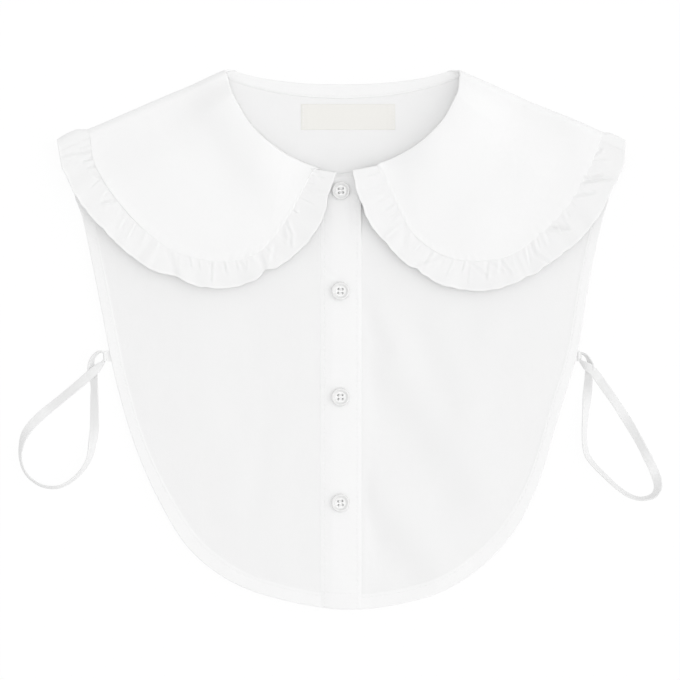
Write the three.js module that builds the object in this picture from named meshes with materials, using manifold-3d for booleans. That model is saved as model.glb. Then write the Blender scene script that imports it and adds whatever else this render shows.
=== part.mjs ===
import * as THREE from "three";
import { mergeVertices } from "three/addons/utils/BufferGeometryUtils.js";
import Module from "manifold-3d";

// A detachable collar lying face up: a bib that buttons down the front, its back panel underneath,
// a flat round collar with a gathered frill all round, and an elastic loop at each side.
// Millimetres. +X to the right, +Y towards the neck, +Z up from the surface that it lies on.

// Cloth
const clothWall = 1;
const hemWall = 1.4;
const pieceGap = 0.3;

// Heights of the middle of each layer above the surface
const backCollarHeight = 0.5;
const backPanelHeight = 2.3;
const frontSpace = { atEdge: 2.6, inside: 3.5, reach: 40 }; // front panel above the back panel
const leafHeight = { neck: 9, seam: 10.5, crown: 0.8 };
const frillRise = 0.8;
const layerStep = clothWall + pieceGap;

// Shoulders: the collar folds over a straight line on each side
const neckPoint = { x: 76, y: 176.6 };
const shoulderSlope = THREE.MathUtils.degToRad(23.5);
const collarAtShoulder = 98;
const frillAtShoulder = 121.5;
const frillDraw = 2; // the frill's end draws in this far at the crest of the fold
const frillPuff = { left: 3.2, right: 1.8 }; // and stands this far beyond the fold line
const neckShift = 7; // the neck edge runs this far towards the centre as it wraps to the back
const panelAtShoulder = 104;

// Neck edge: the collar rolls over and joins the panels by a narrow stand
const frontRoll = 1.6;
const backRoll = 0.9;
const standWidth = 4;
const seamGap = 0.8; // between the stand's or the frill's edge and the curved edge beside it
const frontEndGap = 1.5; // the same where the leaf narrows to its front corner
const bindingWidth = 9;

// Front closure
const placket = { left: -14, right: 12.4, top: 106.5 };
const underPlacket = { left: -11.7, right: 16.2 };
const panelSplit = { left: -12.5, right: -12 };
const panelFanEnd = -120; // where the panels' rows turn from the centre front to the hem
const panelTop = 107;

// Buttons: the profile runs from the middle of the underside, over the rim, to the middle of the dish
const button = { hole: 0.75, holeSpacing: 3, sides: 16, holeSides: 6 };
const buttonProfile = [
  { radius: 0, height: 0 },
  { radius: 4.5, height: 0 },
  { radius: 6, height: 1.1 },
  { radius: 5.5, height: 2.2 },
  { radius: 4.5, height: 2.05 },
  { radius: 3.75, height: 1.4 },
  { radius: 0, height: 1.4 },
];
const buttonPlaces = [
  { x: -0.7, y: 97.6 },
  { x: -1, y: 32.3 },
  { x: -1, y: -36.6 },
  { x: -1, y: -105.5 },
];

// Label
const label = { left: -26.5, right: 34.5, bottom: 137.5, top: 154, wall: 0.8 };

// Side tabs and elastic loops
const tab = { inside: 5, outside: 3.6, width: 6.5, bead: 1.2, top: -6.7, leftEdge: -150.7, rightEdge: 151 };
const ribbon = { width: 6, thickness: 1, step: 3.2 };

// Gathers of the frill: waves on each front and each half of the back
const gathers = { front: 16, back: 12, height: 1.3, heightAtSeam: 0.25, flat: 0.3 };
const gatherFade = { rows: 6, nearFold: 0.05 }; // the waves fade at both ends and towards the fold
const frontEndShare = 0.06; // the share of a front over which the frill's gap narrows

// Shares of the width at which each cloth has its lines of points
const frillColumns = [0, 0.45, 1];
const frontColumns = [0, 0.16, 0.34, 0.54, 0.75, 0.94, 0.95, 1]; // the last strip is the hem, about 6.5 mm
const backColumns = [0, 0.12, 0.25, 0.38, 0.52, 0.66, 0.8, 0.92, 1];
const stripColumns = [0, 0.33, 0.66, 1];

// Rows of points along each cloth
const collarSteps = { front: 18, fold: 6, back: 8, roll: 4, leaf: 5 };
const frillSteps = { perFrontWave: 4, perBackWave: 2, fold: 6 };
const panelSteps = { front: 26, back: 36, frontNeck: 14, backNeck: 10, outline: 120 };
const stripSteps = 20;
const bindingSteps = 12;
const bindingTrim = 0.05; // the binding stops at this share of the way from the fold

// The panels' turns over the shoulder, in degrees from the front
const frontTurns = [80, 55, 28];
const backTurns = [100, 125, 152];

// Outlines seen from above, from the centre front to the shoulder
const leftNeckEdge = [
  { x: -14.3, y: 113 },
  { x: -27, y: 117.5 },
  { x: -40.5, y: 124.5 },
  { x: -56.5, y: 137.5 },
  { x: -67, y: 152 },
  { x: -72.8, y: 165 },
];
const rightNeckEdge = [
  { x: 25, y: 116 },
  { x: 34.5, y: 120 },
  { x: 50.5, y: 129 },
  { x: 65.5, y: 144 },
  { x: 74, y: 162 },
];
const leftSeam = [
  { x: -19.5, y: 111 },
  { x: -28, y: 96 },
  { x: -37, y: 77 },
  { x: -52, y: 58 },
  { x: -66.5, y: 52 },
  { x: -92, y: 53 },
  { x: -112, y: 60 },
  { x: -129, y: 72.5 },
  { x: -142, y: 86.5 },
  { x: -153, y: 101 },
  { x: -161.5, y: 117.5 },
];
const rightSeam = [
  { x: 21, y: 112 },
  { x: 28, y: 102 },
  { x: 36.5, y: 86 },
  { x: 47.5, y: 68 },
  { x: 67, y: 55 },
  { x: 86.5, y: 51.8 },
  { x: 109, y: 55.7 },
  { x: 126, y: 67 },
  { x: 138.5, y: 78.5 },
  { x: 148, y: 89.5 },
  { x: 156.5, y: 104 },
  { x: 163.5, y: 119 },
];
const leftFrillEdge = [
  { x: -4.5, y: 106.5 },
  { x: -9.5, y: 95 },
  { x: -11, y: 83 },
  { x: -19, y: 67.5 },
  { x: -30.5, y: 55 },
  { x: -44, y: 46 },
  { x: -60, y: 37 },
  { x: -76, y: 33.3 },
  { x: -92, y: 34.3 },
  { x: -112, y: 41.4 },
  { x: -125, y: 46.6 },
  { x: -138, y: 55 },
  { x: -151, y: 67 },
  { x: -164, y: 80.5 },
  { x: -175, y: 96.5 },
  { x: -183, y: 114 },
];
const rightFrillEdge = [
  { x: 6.7, y: 108.5 },
  { x: 8.7, y: 99.5 },
  { x: 11.7, y: 91.5 },
  { x: 18.2, y: 76.5 },
  { x: 31, y: 60 },
  { x: 44, y: 48.5 },
  { x: 63.7, y: 37 },
  { x: 80, y: 33 },
  { x: 96, y: 33 },
  { x: 119, y: 40 },
  { x: 132, y: 48.5 },
  { x: 145, y: 57.7 },
  { x: 158, y: 68.7 },
  { x: 169, y: 85 },
  { x: 177, y: 101 },
  { x: 183.5, y: 115 },
];

// Back of the collar, from the shoulder to the centre back, the same on both sides
const backNeckEdge = [
  { x: 53, y: 171.3 },
  { x: 27, y: 167.9 },
  { x: 0, y: 166.9 },
];
const backSeam = [
  { x: 154, y: 118.5 },
  { x: 134.5, y: 99.5 },
  { x: 105, y: 84 },
  { x: 66, y: 74.5 },
  { x: 0, y: 70.5 },
];
const backFrillEdge = [
  { x: 176, y: 107.5 },
  { x: 160.5, y: 89.5 },
  { x: 131, y: 70.5 },
  { x: 92, y: 59 },
  { x: 47, y: 54 },
  { x: 0, y: 52.5 },
];

// Bib outline from under the shoulder round to the centre of the hem
const leftOutline = [
  { x: -174, y: 114 },
  { x: -174, y: 96 },
  { x: -169, y: 81.5 },
  { x: -162, y: 49 },
  { x: -155, y: 13.5 },
  { x: -147.5, y: -23.5 },
  { x: -134.5, y: -68 },
  { x: -118, y: -105.5 },
  { x: -99, y: -135.5 },
  { x: -73, y: -156 },
  { x: -40, y: -168.5 },
  { x: 0, y: -176 },
];
const rightOutline = [
  { x: 174, y: 114 },
  { x: 174, y: 96 },
  { x: 169, y: 77 },
  { x: 161, y: 39.5 },
  { x: 153, y: -8 },
  { x: 141.5, y: -46.5 },
  { x: 126, y: -97 },
  { x: 110, y: -126.5 },
  { x: 88, y: -149 },
  { x: 64, y: -163.5 },
  { x: 31, y: -173 },
  { x: 0, y: -176 },
];
const backInset = 2; // the back panel lies this far inside the front's outline
const bibMiddle = { x: 0, y: 20 };
const drop = { start: 3, end: 75 }; // past the back frill the back panel comes down to the surface

// Soft folds pressed into the fronts: a ridge from (x, y) to (toX, toY), with its half width and height
const drapeFolds = [
  { x: 14, y: 20, toX: 34, toY: -12, width: 8, height: 0.7 },
  { x: 22, y: -32, toX: 60, toY: -84, width: 10, height: 0.8 },
  { x: 18, y: -110, toX: 54, toY: -158, width: 9, height: 0.8 },
  { x: -120, y: 0, toX: -70, toY: -40, width: 11, height: 0.6 },
];
const drapeClear = { from: 20, to: 36 }; // they fade out this far from the centre, beside the placket

// Loop routes: place, how far the ribbon is lifted off the surface, and its roll (0 flat, 90 on edge)
const leftLoopRoute = [
  { x: -154.9, y: -14, lift: 0, roll: 90 },
  { x: -157, y: -17.2, lift: 0.8, roll: 50 },
  { x: -162.5, y: -21.6, lift: 1.6, roll: 12 },
  { x: -170.3, y: -27.5, lift: 1.2, roll: 0 },
  { x: -183, y: -38, lift: 0.2, roll: 0 },
  { x: -196.3, y: -49, lift: 0, roll: 12 },
  { x: -202.8, y: -55.6, lift: 0, roll: 30 },
  { x: -207, y: -62, lift: 0, roll: 52 },
  { x: -209, y: -69, lift: 0, roll: 74 },
  { x: -209.4, y: -76, lift: 0, roll: 88 },
  { x: -207, y: -84.5, lift: 0, roll: 90 },
  { x: -202, y: -90.5, lift: 0, roll: 90 },
  { x: -194.5, y: -94.7, lift: 0, roll: 90 },
  { x: -185.5, y: -95.4, lift: 0, roll: 90 },
  { x: -177.5, y: -92, lift: 0, roll: 90 },
  { x: -170, y: -85.3, lift: 0, roll: 86 },
  { x: -164.8, y: -77, lift: 0, roll: 72 },
  { x: -162.2, y: -65, lift: 0, roll: 45 },
  { x: -161.3, y: -52, lift: 0, roll: 14 },
  { x: -161.3, y: -38.5, lift: 0, roll: 0 },
  { x: -161.4, y: -28, lift: 0, roll: 0 },
  { x: -162.8, y: -21, lift: 0, roll: -16 },
  { x: -164, y: -16, lift: 0, roll: -46 },
  { x: -163, y: -11, lift: 0, roll: -70 },
  { x: -160.6, y: -7.4, lift: 0, roll: -80 },
  { x: -157.4, y: -5, lift: 0, roll: -90 },
  { x: -155.2, y: -5.9, lift: 0, roll: -90 },
];
const rightLoopRoute = [
  { x: 154.9, y: -14, lift: 0, roll: -90 },
  { x: 157.2, y: -16.4, lift: 0.8, roll: -50 },
  { x: 161.6, y: -19, lift: 1.6, roll: -12 },
  { x: 166, y: -23, lift: 1.4, roll: 0 },
  { x: 170, y: -28.5, lift: 0.8, roll: 0 },
  { x: 178.8, y: -41, lift: 0.1, roll: 0 },
  { x: 188.3, y: -56, lift: 0, roll: 0 },
  { x: 197, y: -71.5, lift: 0, roll: 0 },
  { x: 202.5, y: -82.5, lift: 0, roll: -14 },
  { x: 205.4, y: -90, lift: 0, roll: -38 },
  { x: 205.7, y: -96, lift: 0, roll: -66 },
  { x: 203, y: -100.6, lift: 0, roll: -86 },
  { x: 195.5, y: -102.9, lift: 0, roll: -90 },
  { x: 187.5, y: -101, lift: 0, roll: -90 },
  { x: 179.5, y: -95.7, lift: 0, roll: -88 },
  { x: 171.8, y: -88.6, lift: 0, roll: -84 },
  { x: 164.6, y: -81.4, lift: 0, roll: -80 },
  { x: 159.8, y: -75, lift: 0, roll: -72 },
  { x: 157.6, y: -67.5, lift: 0, roll: -62 },
  { x: 157.3, y: -55, lift: 0, roll: -50 },
  { x: 158.3, y: -44, lift: 0, roll: -34 },
  { x: 159.6, y: -34, lift: 0, roll: -8 },
  { x: 160.4, y: -26, lift: 0, roll: 0 },
  { x: 161.8, y: -20, lift: 0, roll: 18 },
  { x: 163.4, y: -15, lift: 0, roll: 46 },
  { x: 162.6, y: -10.6, lift: 0, roll: 70 },
  { x: 160.4, y: -7, lift: 0, roll: 80 },
  { x: 157.4, y: -4.9, lift: 0, roll: 90 },
  { x: 155.3, y: -5.9, lift: 0, roll: 90 },
];

const { lerp, smoothstep, clamp, degToRad } = THREE.MathUtils;
const curveDivisions = 400;
const at =(x, y, z = 0) => new THREE.Vector3(x, y, z);
const mirrored = (rows) => rows.map((row) => ({ ...row, x: -row.x }));

// A smooth plan curve through rows of x and y
function smoothCurve(points) {
  const curve = new THREE.CatmullRomCurve3(points.map((p) => at(p.x, p.y)), false, "centripetal");
  curve.arcLengthDivisions = curveDivisions;
  return curve;
}

// The point at a share of the length of a line through points
function alongLine(points, share) {
  const lengths = points.slice(1).map((p, i) => p.distanceTo(points[i]));
  let left = share * lengths.reduce((sum, length) => sum + length, 0);
  for (let i = 0; i < lengths.length; i++) {
    if (left <= lengths[i] || i === lengths.length - 1)
      return points[i].clone().lerp(points[i + 1], clamp(left / lengths[i], 0, 1));
    left -= lengths[i];
  }
}

// A closed solid from faces given as vertices and triangles
function bodyFrom(vertices, triangles) {
  const geometry = new THREE.BufferGeometry();
  const positions = vertices.flatMap((v) => [v.x, v.y, v.z]);
  geometry.setAttribute("position", new THREE.Float32BufferAttribute(positions, 3));
  geometry.setIndex(triangles);
  geometry.computeVertexNormals();
  return geometry;
}

// A cloth wall round a grid of middle points: rows of equal length, wall(row, column) thick
function clothSolid(rows, wall = () => clothWall) {
  const across = rows[0].length;
  const upper = [];
  const lower = [];
  rows.forEach((row, i) =>
    row.forEach((point, j) => {
      const alongRow = row[Math.min(j + 1, across - 1)].clone().sub(row[Math.max(j - 1, 0)]);
      const next = rows[Math.min(i + 1, rows.length - 1)][j];
      const normal = next.clone().sub(rows[Math.max(i - 1, 0)][j]).cross(alongRow).normalize();
      const half = wall(i, j) / 2;
      upper.push(point.clone().addScaledVector(normal, half));
      lower.push(point.clone().addScaledVector(normal, -half));
    }),
  );
  const count = upper.length;
  const triangles = [];
  const index = (i, j) => i * across + j;
  const edge = (p, q) => triangles.push(p, q, q + count, p, q + count, p + count);
  for (let i = 0; i < rows.length - 1; i++)
    for (let j = 0; j < across - 1; j++) {
      const [a, b, c, d] = [index(i, j), index(i + 1, j), index(i + 1, j + 1), index(i, j + 1)];
      triangles.push(a, b, c, a, c, d);
      triangles.push(...[a, c, b, a, d, c].map((vertex) => vertex + count));
    }
  for (let i = 0; i < rows.length - 1; i++) {
    edge(index(i + 1, 0), index(i, 0));
    edge(index(i, across - 1), index(i + 1, across - 1));
  }
  for (let j = 0; j < across - 1; j++) {
    edge(index(0, j), index(0, j + 1));
    edge(index(rows.length - 1, j + 1), index(rows.length - 1, j));
  }
  return bodyFrom([...upper, ...lower], triangles);
}

// Heights
const leafZ = (share) =>
  lerp(leafHeight.neck, leafHeight.seam, share) + leafHeight.crown * Math.sin(Math.PI * share);
const frillZ = (share) => leafHeight.seam + frillRise * share;
const shoulderZ = (distance) =>
  distance < collarAtShoulder
    ? leafZ(distance / collarAtShoulder)
    : frillZ((distance - collarAtShoulder) / (frillAtShoulder - collarAtShoulder));
const foldRadius = (distance) => (shoulderZ(Math.max(distance, 0)) - backCollarHeight) / 2;
const neckStart = (turn) => -neckShift * smoothstep(turn, Math.PI / 2, Math.PI);

const backFrillLine = smoothCurve(backFrillEdge).getSpacedPoints(40);
function backFrillY(x) {
  const far = backFrillLine.findIndex((p) => p.x < Math.abs(x));
  if (far < 1) return far ? backFrillLine.at(-1).y : backFrillLine[0].y;
  const [before, after] = [backFrillLine[far - 1], backFrillLine[far]];
  return lerp(before.y, after.y, (before.x - Math.abs(x)) / (before.x - after.x));
}
const backZ = (x, y) =>
  lerp(backPanelHeight, backCollarHeight, smoothstep(backFrillY(x) - y, drop.start, drop.end));

// A shoulder: side is -1 on the left, 1 on the right
function shoulder(side) {
  const along = at(side * Math.cos(shoulderSlope), -Math.sin(shoulderSlope));
  const out = at(side * Math.sin(shoulderSlope), Math.cos(shoulderSlope));
  const base = (distance) => at(side * neckPoint.x, neckPoint.y).addScaledVector(along, distance);
  const centre = (distance) =>
    base(distance).addScaledVector(out, -(clothWall / 2 + foldRadius(distance)));
  return { side, along, out, centre };
}
const shoulders = { left: shoulder(-1), right: shoulder(1) };

// A point of a layer that wraps the shoulder, turn 0 on the front and 180 degrees on the back
function wrapped({ centre, out }, distance, turn, front, back) {
  const radius = (front - back) / 2;
  const point = centre(distance).addScaledVector(out, radius * Math.sin(turn));
  point.z = (front + back) / 2 + radius * Math.cos(turn);
  return point;
}

// Plan curves of the collar on one side: centre front to the fold, or the fold to the centre back
function planCurves(side, neckRows, seamRows, frillRows, fromFold) {
  const fold = shoulders[side];
  const joined = (rows, distance) =>
    smoothCurve(fromFold ? [fold.centre(distance), ...rows] : [...rows, fold.centre(distance)]);
  return {
    neck: joined(neckRows, neckStart(fromFold ? Math.PI : 0)),
    seam: joined(seamRows, collarAtShoulder),
    frill: joined(frillRows, frillAtShoulder),
  };
}
const plans = {
  left: {
    front: planCurves("left", leftNeckEdge, leftSeam, leftFrillEdge, false),
    back: planCurves("left", mirrored(backNeckEdge), mirrored(backSeam), mirrored(backFrillEdge), true),
  },
  right: {
    front: planCurves("right", rightNeckEdge, rightSeam, rightFrillEdge, false),
    back: planCurves("right", backNeckEdge, backSeam, backFrillEdge, true),
  },
};

// Stations round the collar from the left centre front, over both shoulders, to the right centre front.
// A station on the front or back has a share of its plan curves, and one on a shoulder has a turn.
function stationsRound({ front, fold, back }) {
  const half = (side) => {
    const list = [];
    for (let i = 0; i < front; i++) list.push({ side, part: "front", share: i / front, turn: 0 });
    for (let i = 0; i <= fold; i++) list.push({ side, part: "fold", turn: (Math.PI * i) / fold });
    for (let i = 1; i <= back; i++) list.push({ side, part: "back", share: i / back, turn: Math.PI });
    return list;
  };
  const right = half("right").reverse().slice(1);
  return [...half("left"), ...right];
}

// The direction across the collar at a station, from neck to seam, and the direction out of the cloth
function acrossAt(station) {
  const fold = shoulders[station.side];
  if (station.part === "fold") return fold.along.clone();
  const { neck, seam } = plans[station.side][station.part];
  return seam.getPointAt(station.share).sub(neck.getPointAt(station.share)).normalize();
}
function outOfCloth(station) {
  const out = shoulders[station.side].out.clone().multiplyScalar(Math.sin(station.turn));
  return out.setZ(Math.cos(station.turn));
}

// A point of the collar's leaf: distance from the neck edge as a share of the leaf's width
function leafPoint(station, share) {
  if (station.part === "fold") {
    const distance = lerp(neckStart(station.turn), collarAtShoulder, share);
    return wrapped(shoulders[station.side], distance, station.turn, leafZ(share), backCollarHeight);
  }
  const { neck, seam } = plans[station.side][station.part];
  const point = neck.getPointAt(station.share).lerp(seam.getPointAt(station.share), share);
  return point.setZ(station.part === "front" ? leafZ(share) : backCollarHeight);
}
function leafWidth(station) {
  if (station.part === "fold") return collarAtShoulder - neckStart(station.turn);
  const { neck, seam } = plans[station.side][station.part];
  return neck.getPointAt(station.share).distanceTo(seam.getPointAt(station.share));
}
const rollRadius = (station) => lerp(frontRoll, backRoll, station.turn / Math.PI);

// Where the leaf ends and the roll begins, and where the stand ends against the panels
function rollStart(station) {
  return leafPoint(station, (clothWall / 2 + rollRadius(station)) / leafWidth(station));
}
function standPoint(station, reach) {
  return rollStart(station)
    .addScaledVector(outOfCloth(station), -2 * rollRadius(station))
    .addScaledVector(acrossAt(station), reach);
}

function collarRow(station) {
  const { roll, leaf } = collarSteps;
  const radius = rollRadius(station);
  const start = rollStart(station);
  const out = outOfCloth(station);
  const across = acrossAt(station);
  const row = [standPoint(station, standWidth)];
  for (let k = roll; k > 0; k--) {
    const angle = (Math.PI * k) / roll;
    row.push(
      start
        .clone()
        .addScaledVector(out, radius * (Math.cos(angle) - 1))
        .addScaledVector(across, -radius * Math.sin(angle)),
    );
  }
  const first = (clothWall / 2 + radius) / leafWidth(station);
  for (let k = 0; k <= leaf; k++) row.push(leafPoint(station, lerp(first, 1, k / leaf)));
  return row;
}
const collarSolid = () => clothSolid(stationsRound(collarSteps).map(collarRow));

// The frill: gathered at the seam, waving at its free edge, and flattened under the back.
// Over a shoulder it puffs out beyond the fold line, most in the middle of its width.
function frillOnShoulder({ side, turn }, column) {
  const fold = shoulders[side];
  const crest = Math.sin(turn);
  const distance = lerp(collarAtShoulder + seamGap, frillAtShoulder - frillDraw * crest, column);
  const puff = frillPuff[side] * crest * Math.min(1, 3 * column, 1.7 - column);
  const point = wrapped(fold, distance, turn, frillZ(column), backCollarHeight);
  return point.addScaledVector(fold.out, puff);
}
function frillRow(station, order, count) {
  if (station.part === "fold") return frillColumns.map((column) => frillOnShoulder(station, column));
  const { part, share } = station;
  const { seam, frill } = plans[station.side][part];
  const swing = Math.cos(2 * Math.PI * gathers[part] * share);
  const inner = seam.getPointAt(share);
  const outer = frill.getPointAt(share);
  const clear = lerp(frontEndGap, seamGap, smoothstep(share, 0, frontEndShare));
  const gap = (part === "front" ? clear : seamGap) / inner.distanceTo(outer);
  const ends = smoothstep(Math.min(order, count - 1 - order), 0, gatherFade.rows);
  const fade = ends * smoothstep(1 - share, 0, gatherFade.nearFold);
  return frillColumns.map((column) => {
    const point = inner.clone().lerp(outer, lerp(gap, 1, column));
    if (part === "back") {
      const lift = gathers.flat * column * Math.sin(Math.PI * share) * (1 - swing);
      return point.setZ(backCollarHeight + lift);
    }
    const height = gathers.height * lerp(gathers.heightAtSeam, 1, column);
    return point.setZ(frillZ(column) + height * swing * fade);
  });
}
const frillSolid = () => {
  const stations = stationsRound({
    front: gathers.front * frillSteps.perFrontWave,
    fold: frillSteps.fold,
    back: gathers.back * frillSteps.perBackWave,
  });
  return clothSolid(stations.map((station, i) => frillRow(station, i, stations.length)));
};

// Bib panels
const outlineOf = (side, rows) =>
  smoothCurve([shoulders[side].centre(panelAtShoulder), ...rows]).getSpacedPoints(panelSteps.outline);
const leftLine = outlineOf("left", leftOutline);
const rightLine = outlineOf("right", rightOutline);
const hemLine = [...leftLine, ...rightLine.slice(0, -1).reverse()];

const edgeDistance = (x, y) => Math.min(...hemLine.map((p) => Math.hypot(p.x - x, p.y - y)));
function drapeZ(x, y) {
  let height = 0;
  for (const fold of drapeFolds) {
    const [dx, dy] = [fold.toX - fold.x, fold.toY - fold.y];
    const share = clamp(((x - fold.x) * dx + (y - fold.y) * dy) / (dx * dx + dy * dy), 0, 1);
    const away = Math.hypot(x - fold.x - share * dx, y - fold.y - share * dy);
    height += fold.height * Math.exp(-((away / fold.width) ** 2));
  }
  return height * smoothstep(Math.abs(x), drapeClear.from, drapeClear.to);
}
const frontZ = (x, y) =>
  backZ(x, y) +
  lerp(frontSpace.atEdge, frontSpace.inside, smoothstep(edgeDistance(x, y), 0, frontSpace.reach)) +
  drapeZ(x, y);

// The panels' neck edge, from the shoulder to the centre front or back
function panelNeckLine(side, part, count) {
  const line = [];
  for (let i = 0; i <= count; i++) {
    const along = i / count;
    const share = part === "front" ? 1 - along : along;
    const turn = part === "front" ? 0 : Math.PI;
    const station = i ? { side, part, share, turn } : { side, part: "fold", turn };
    line.push(standPoint(station, standWidth + seamGap).setZ(0));
  }
  return line;
}

// A panel's row over the shoulder, and its rows fanned from an inner line to an outer line
function shoulderRow(side, degrees, roll, columns) {
  const turn = degToRad(degrees);
  const front = leafHeight.neck - 2 * frontRoll;
  const start = clothWall / 2 + roll + standWidth + seamGap;
  const from = start + (turn > Math.PI / 2 ? neckStart(turn) : 0);
  return columns.map((column) =>
    wrapped(shoulders[side], lerp(from, panelAtShoulder, column), turn, front, backPanelHeight),
  );
}
function fanRows(inner, outer, steps, columns, height) {
  const grid = [];
  for (let i = 0; i <= steps; i++) {
    const from = alongLine(inner, i / steps);
    const to = alongLine(outer, i / steps);
    grid.push(
      columns.map((column) => {
        const point = from.clone().lerp(to, column);
        return point.setZ(height(point.x, point.y));
      }),
    );
  }
  return grid;
}

function frontPanelSolid(side) {
  const line = side === "left" ? leftLine : rightLine;
  const split = panelSplit[side];
  const clearOfSplit = (p) => p.y > panelTop && Math.abs(p.x - split) > 1;
  const neck = panelNeckLine(side, "front", panelSteps.frontNeck).filter(clearOfSplit);
  const outer = line.filter((p) => side === "right" || p.x < split);
  if (side === "right") outer.push(at(split / 2, hemY(split / 2)));
  outer.push(at(split, hemY(split)));
  const inner = [...neck, at(split, panelTop), at(split, panelFanEnd)];
  const grid = [
    ...frontTurns.map((turn) => shoulderRow(side, turn, frontRoll, frontColumns)),
    ...fanRows(inner, outer, panelSteps.front, frontColumns, frontZ),
  ];
  return clothSolid(grid, (i, j) => (j >= frontColumns.length - 2 ? hemWall : clothWall));
}

function backPanelSolid() {
  const inner = [
    ...panelNeckLine("left", "back", panelSteps.backNeck),
    ...panelNeckLine("right", "back", panelSteps.backNeck).reverse().slice(1),
  ];
  const middle = at(bibMiddle.x, bibMiddle.y);
  const outer = hemLine.map((p, i) => {
    const atShoulder = i === 0 || i === hemLine.length - 1;
    const inward = middle.clone().sub(p).setLength(backInset);
    return atShoulder ? p.clone() : p.clone().add(inward);
  });
  return clothSolid([
    ...backTurns.map((turn) => shoulderRow("left", turn, backRoll, backColumns)),
    ...fanRows(inner, outer, panelSteps.back, backColumns, backZ),
    ...[...backTurns].reverse().map((turn) => shoulderRow("right", turn, backRoll, backColumns)),
  ]);
}

// A straight strip down the centre front, level with a layer above or below the fronts
function stripSolid({ left, right }, step) {
  const grid = [];
  for (let i = 0; i <= stripSteps; i++)
    grid.push(
      stripColumns.map((column) => {
        const x = lerp(left, right, column);
        const y = lerp(hemY(x), placket.top, i / stripSteps);
        return at(x, y, frontZ(x, y) + step);
      }),
    );
  return clothSolid(grid);
}
function hemY(x) {
  const near = [...hemLine].sort((p, q) => Math.abs(p.x - x) - Math.abs(q.x - x));
  const low = near.filter((p) => p.y < 0).slice(0, 2);
  return Math.min(low[0].y, low[1].y);
}

// The band over the back neck seam
function bindingSolid() {
  const rise = backPanelHeight + layerStep;
  const grid = [];
  for (let i = 0; i <= 2 * bindingSteps; i++) {
    const side = i <= bindingSteps ? "left" : "right";
    const inwards = Math.min(i, 2 * bindingSteps - i) / bindingSteps;
    const share = lerp(bindingTrim, 1, inwards);
    const station = { side, part: "back", share, turn: Math.PI };
    const neck = plans[side].back.neck.getPointAt(share);
    const across = acrossAt(station);
    grid.push(
      [clothWall / 2, bindingWidth / 2, bindingWidth].map((reach) =>
        neck.clone().addScaledVector(across, reach).setZ(rise),
      ),
    );
  }
  return clothSolid(grid);
}

function labelSolid() {
  const z = backPanelHeight + clothWall / 2 + pieceGap + label.wall / 2;
  const grid = [label.bottom, label.top].map((y) => [label.left, label.right].map((x) => at(x, y, z)));
  return clothSolid(grid, () => label.wall);
}

// Buttons
const wasm = await Module();
wasm.setup();

function manifoldOf(geometry) {
  const bare = geometry.clone();
  bare.deleteAttribute("normal");
  bare.deleteAttribute("uv");
  const merged = mergeVertices(bare, 1e-4);
  return new wasm.Manifold(
    new wasm.Mesh({
      numProp: 3,
      vertProperties: merged.attributes.position.array,
      triVerts: new Uint32Array(merged.index.array),
    }),
  );
}
function geometryOf(manifold) {
  const mesh = manifold.getMesh();
  const geometry = new THREE.BufferGeometry();
  geometry.setAttribute("position", new THREE.BufferAttribute(new Float32Array(mesh.vertProperties), 3));
  geometry.setIndex(new THREE.BufferAttribute(new Uint32Array(mesh.triVerts), 1));
  geometry.computeVertexNormals();
  return geometry;
}
function buttonGeometry() {
  const { hole, holeSpacing, sides, holeSides } = button;
  const profile = buttonProfile.map(({ radius, height }) => new THREE.Vector2(radius, height));
  const disc = new THREE.LatheGeometry(profile, sides).rotateX(Math.PI / 2);
  const tall = 4 * Math.max(...buttonProfile.map(({ height }) => height));
  let solid = manifoldOf(disc);
  for (const x of [-holeSpacing / 2, holeSpacing / 2])
    for (const y of [-holeSpacing / 2, holeSpacing / 2]) {
      const drill = new THREE.CylinderGeometry(hole, hole, tall, holeSides).rotateX(Math.PI / 2);
      solid = solid.subtract(manifoldOf(drill.translate(x, y, 0)));
    }
  return geometryOf(solid);
}

// A tab: a folded strip under the front's edge, with a bead at its end that the ribbon leaves
function tabSolid(side) {
  const edge = side < 0 ? tab.leftEdge : tab.rightEdge;
  const shape = new THREE.Shape();
  const half = clothWall / 2;
  const beadX = tab.inside + tab.outside;
  const angle = Math.asin(half / tab.bead);
  shape.moveTo(0, -half);
  shape.lineTo(beadX - tab.bead * Math.cos(angle), -half);
  shape.absarc(beadX, 0, tab.bead, Math.PI + angle, Math.PI - angle, false);
  shape.lineTo(0, half);
  shape.closePath();
  const strip = new THREE.ExtrudeGeometry(shape, {
    depth: tab.width,
    bevelEnabled: false,
    curveSegments: 10,
  });
  strip.rotateX(Math.PI / 2);
  if (side < 0) strip.rotateZ(Math.PI).translate(0, -tab.width, 0);
  const height = backCollarHeight + frontSpace.atEdge / 2;
  return strip.translate(edge - side * tab.inside, tab.top, height);
}

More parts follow.
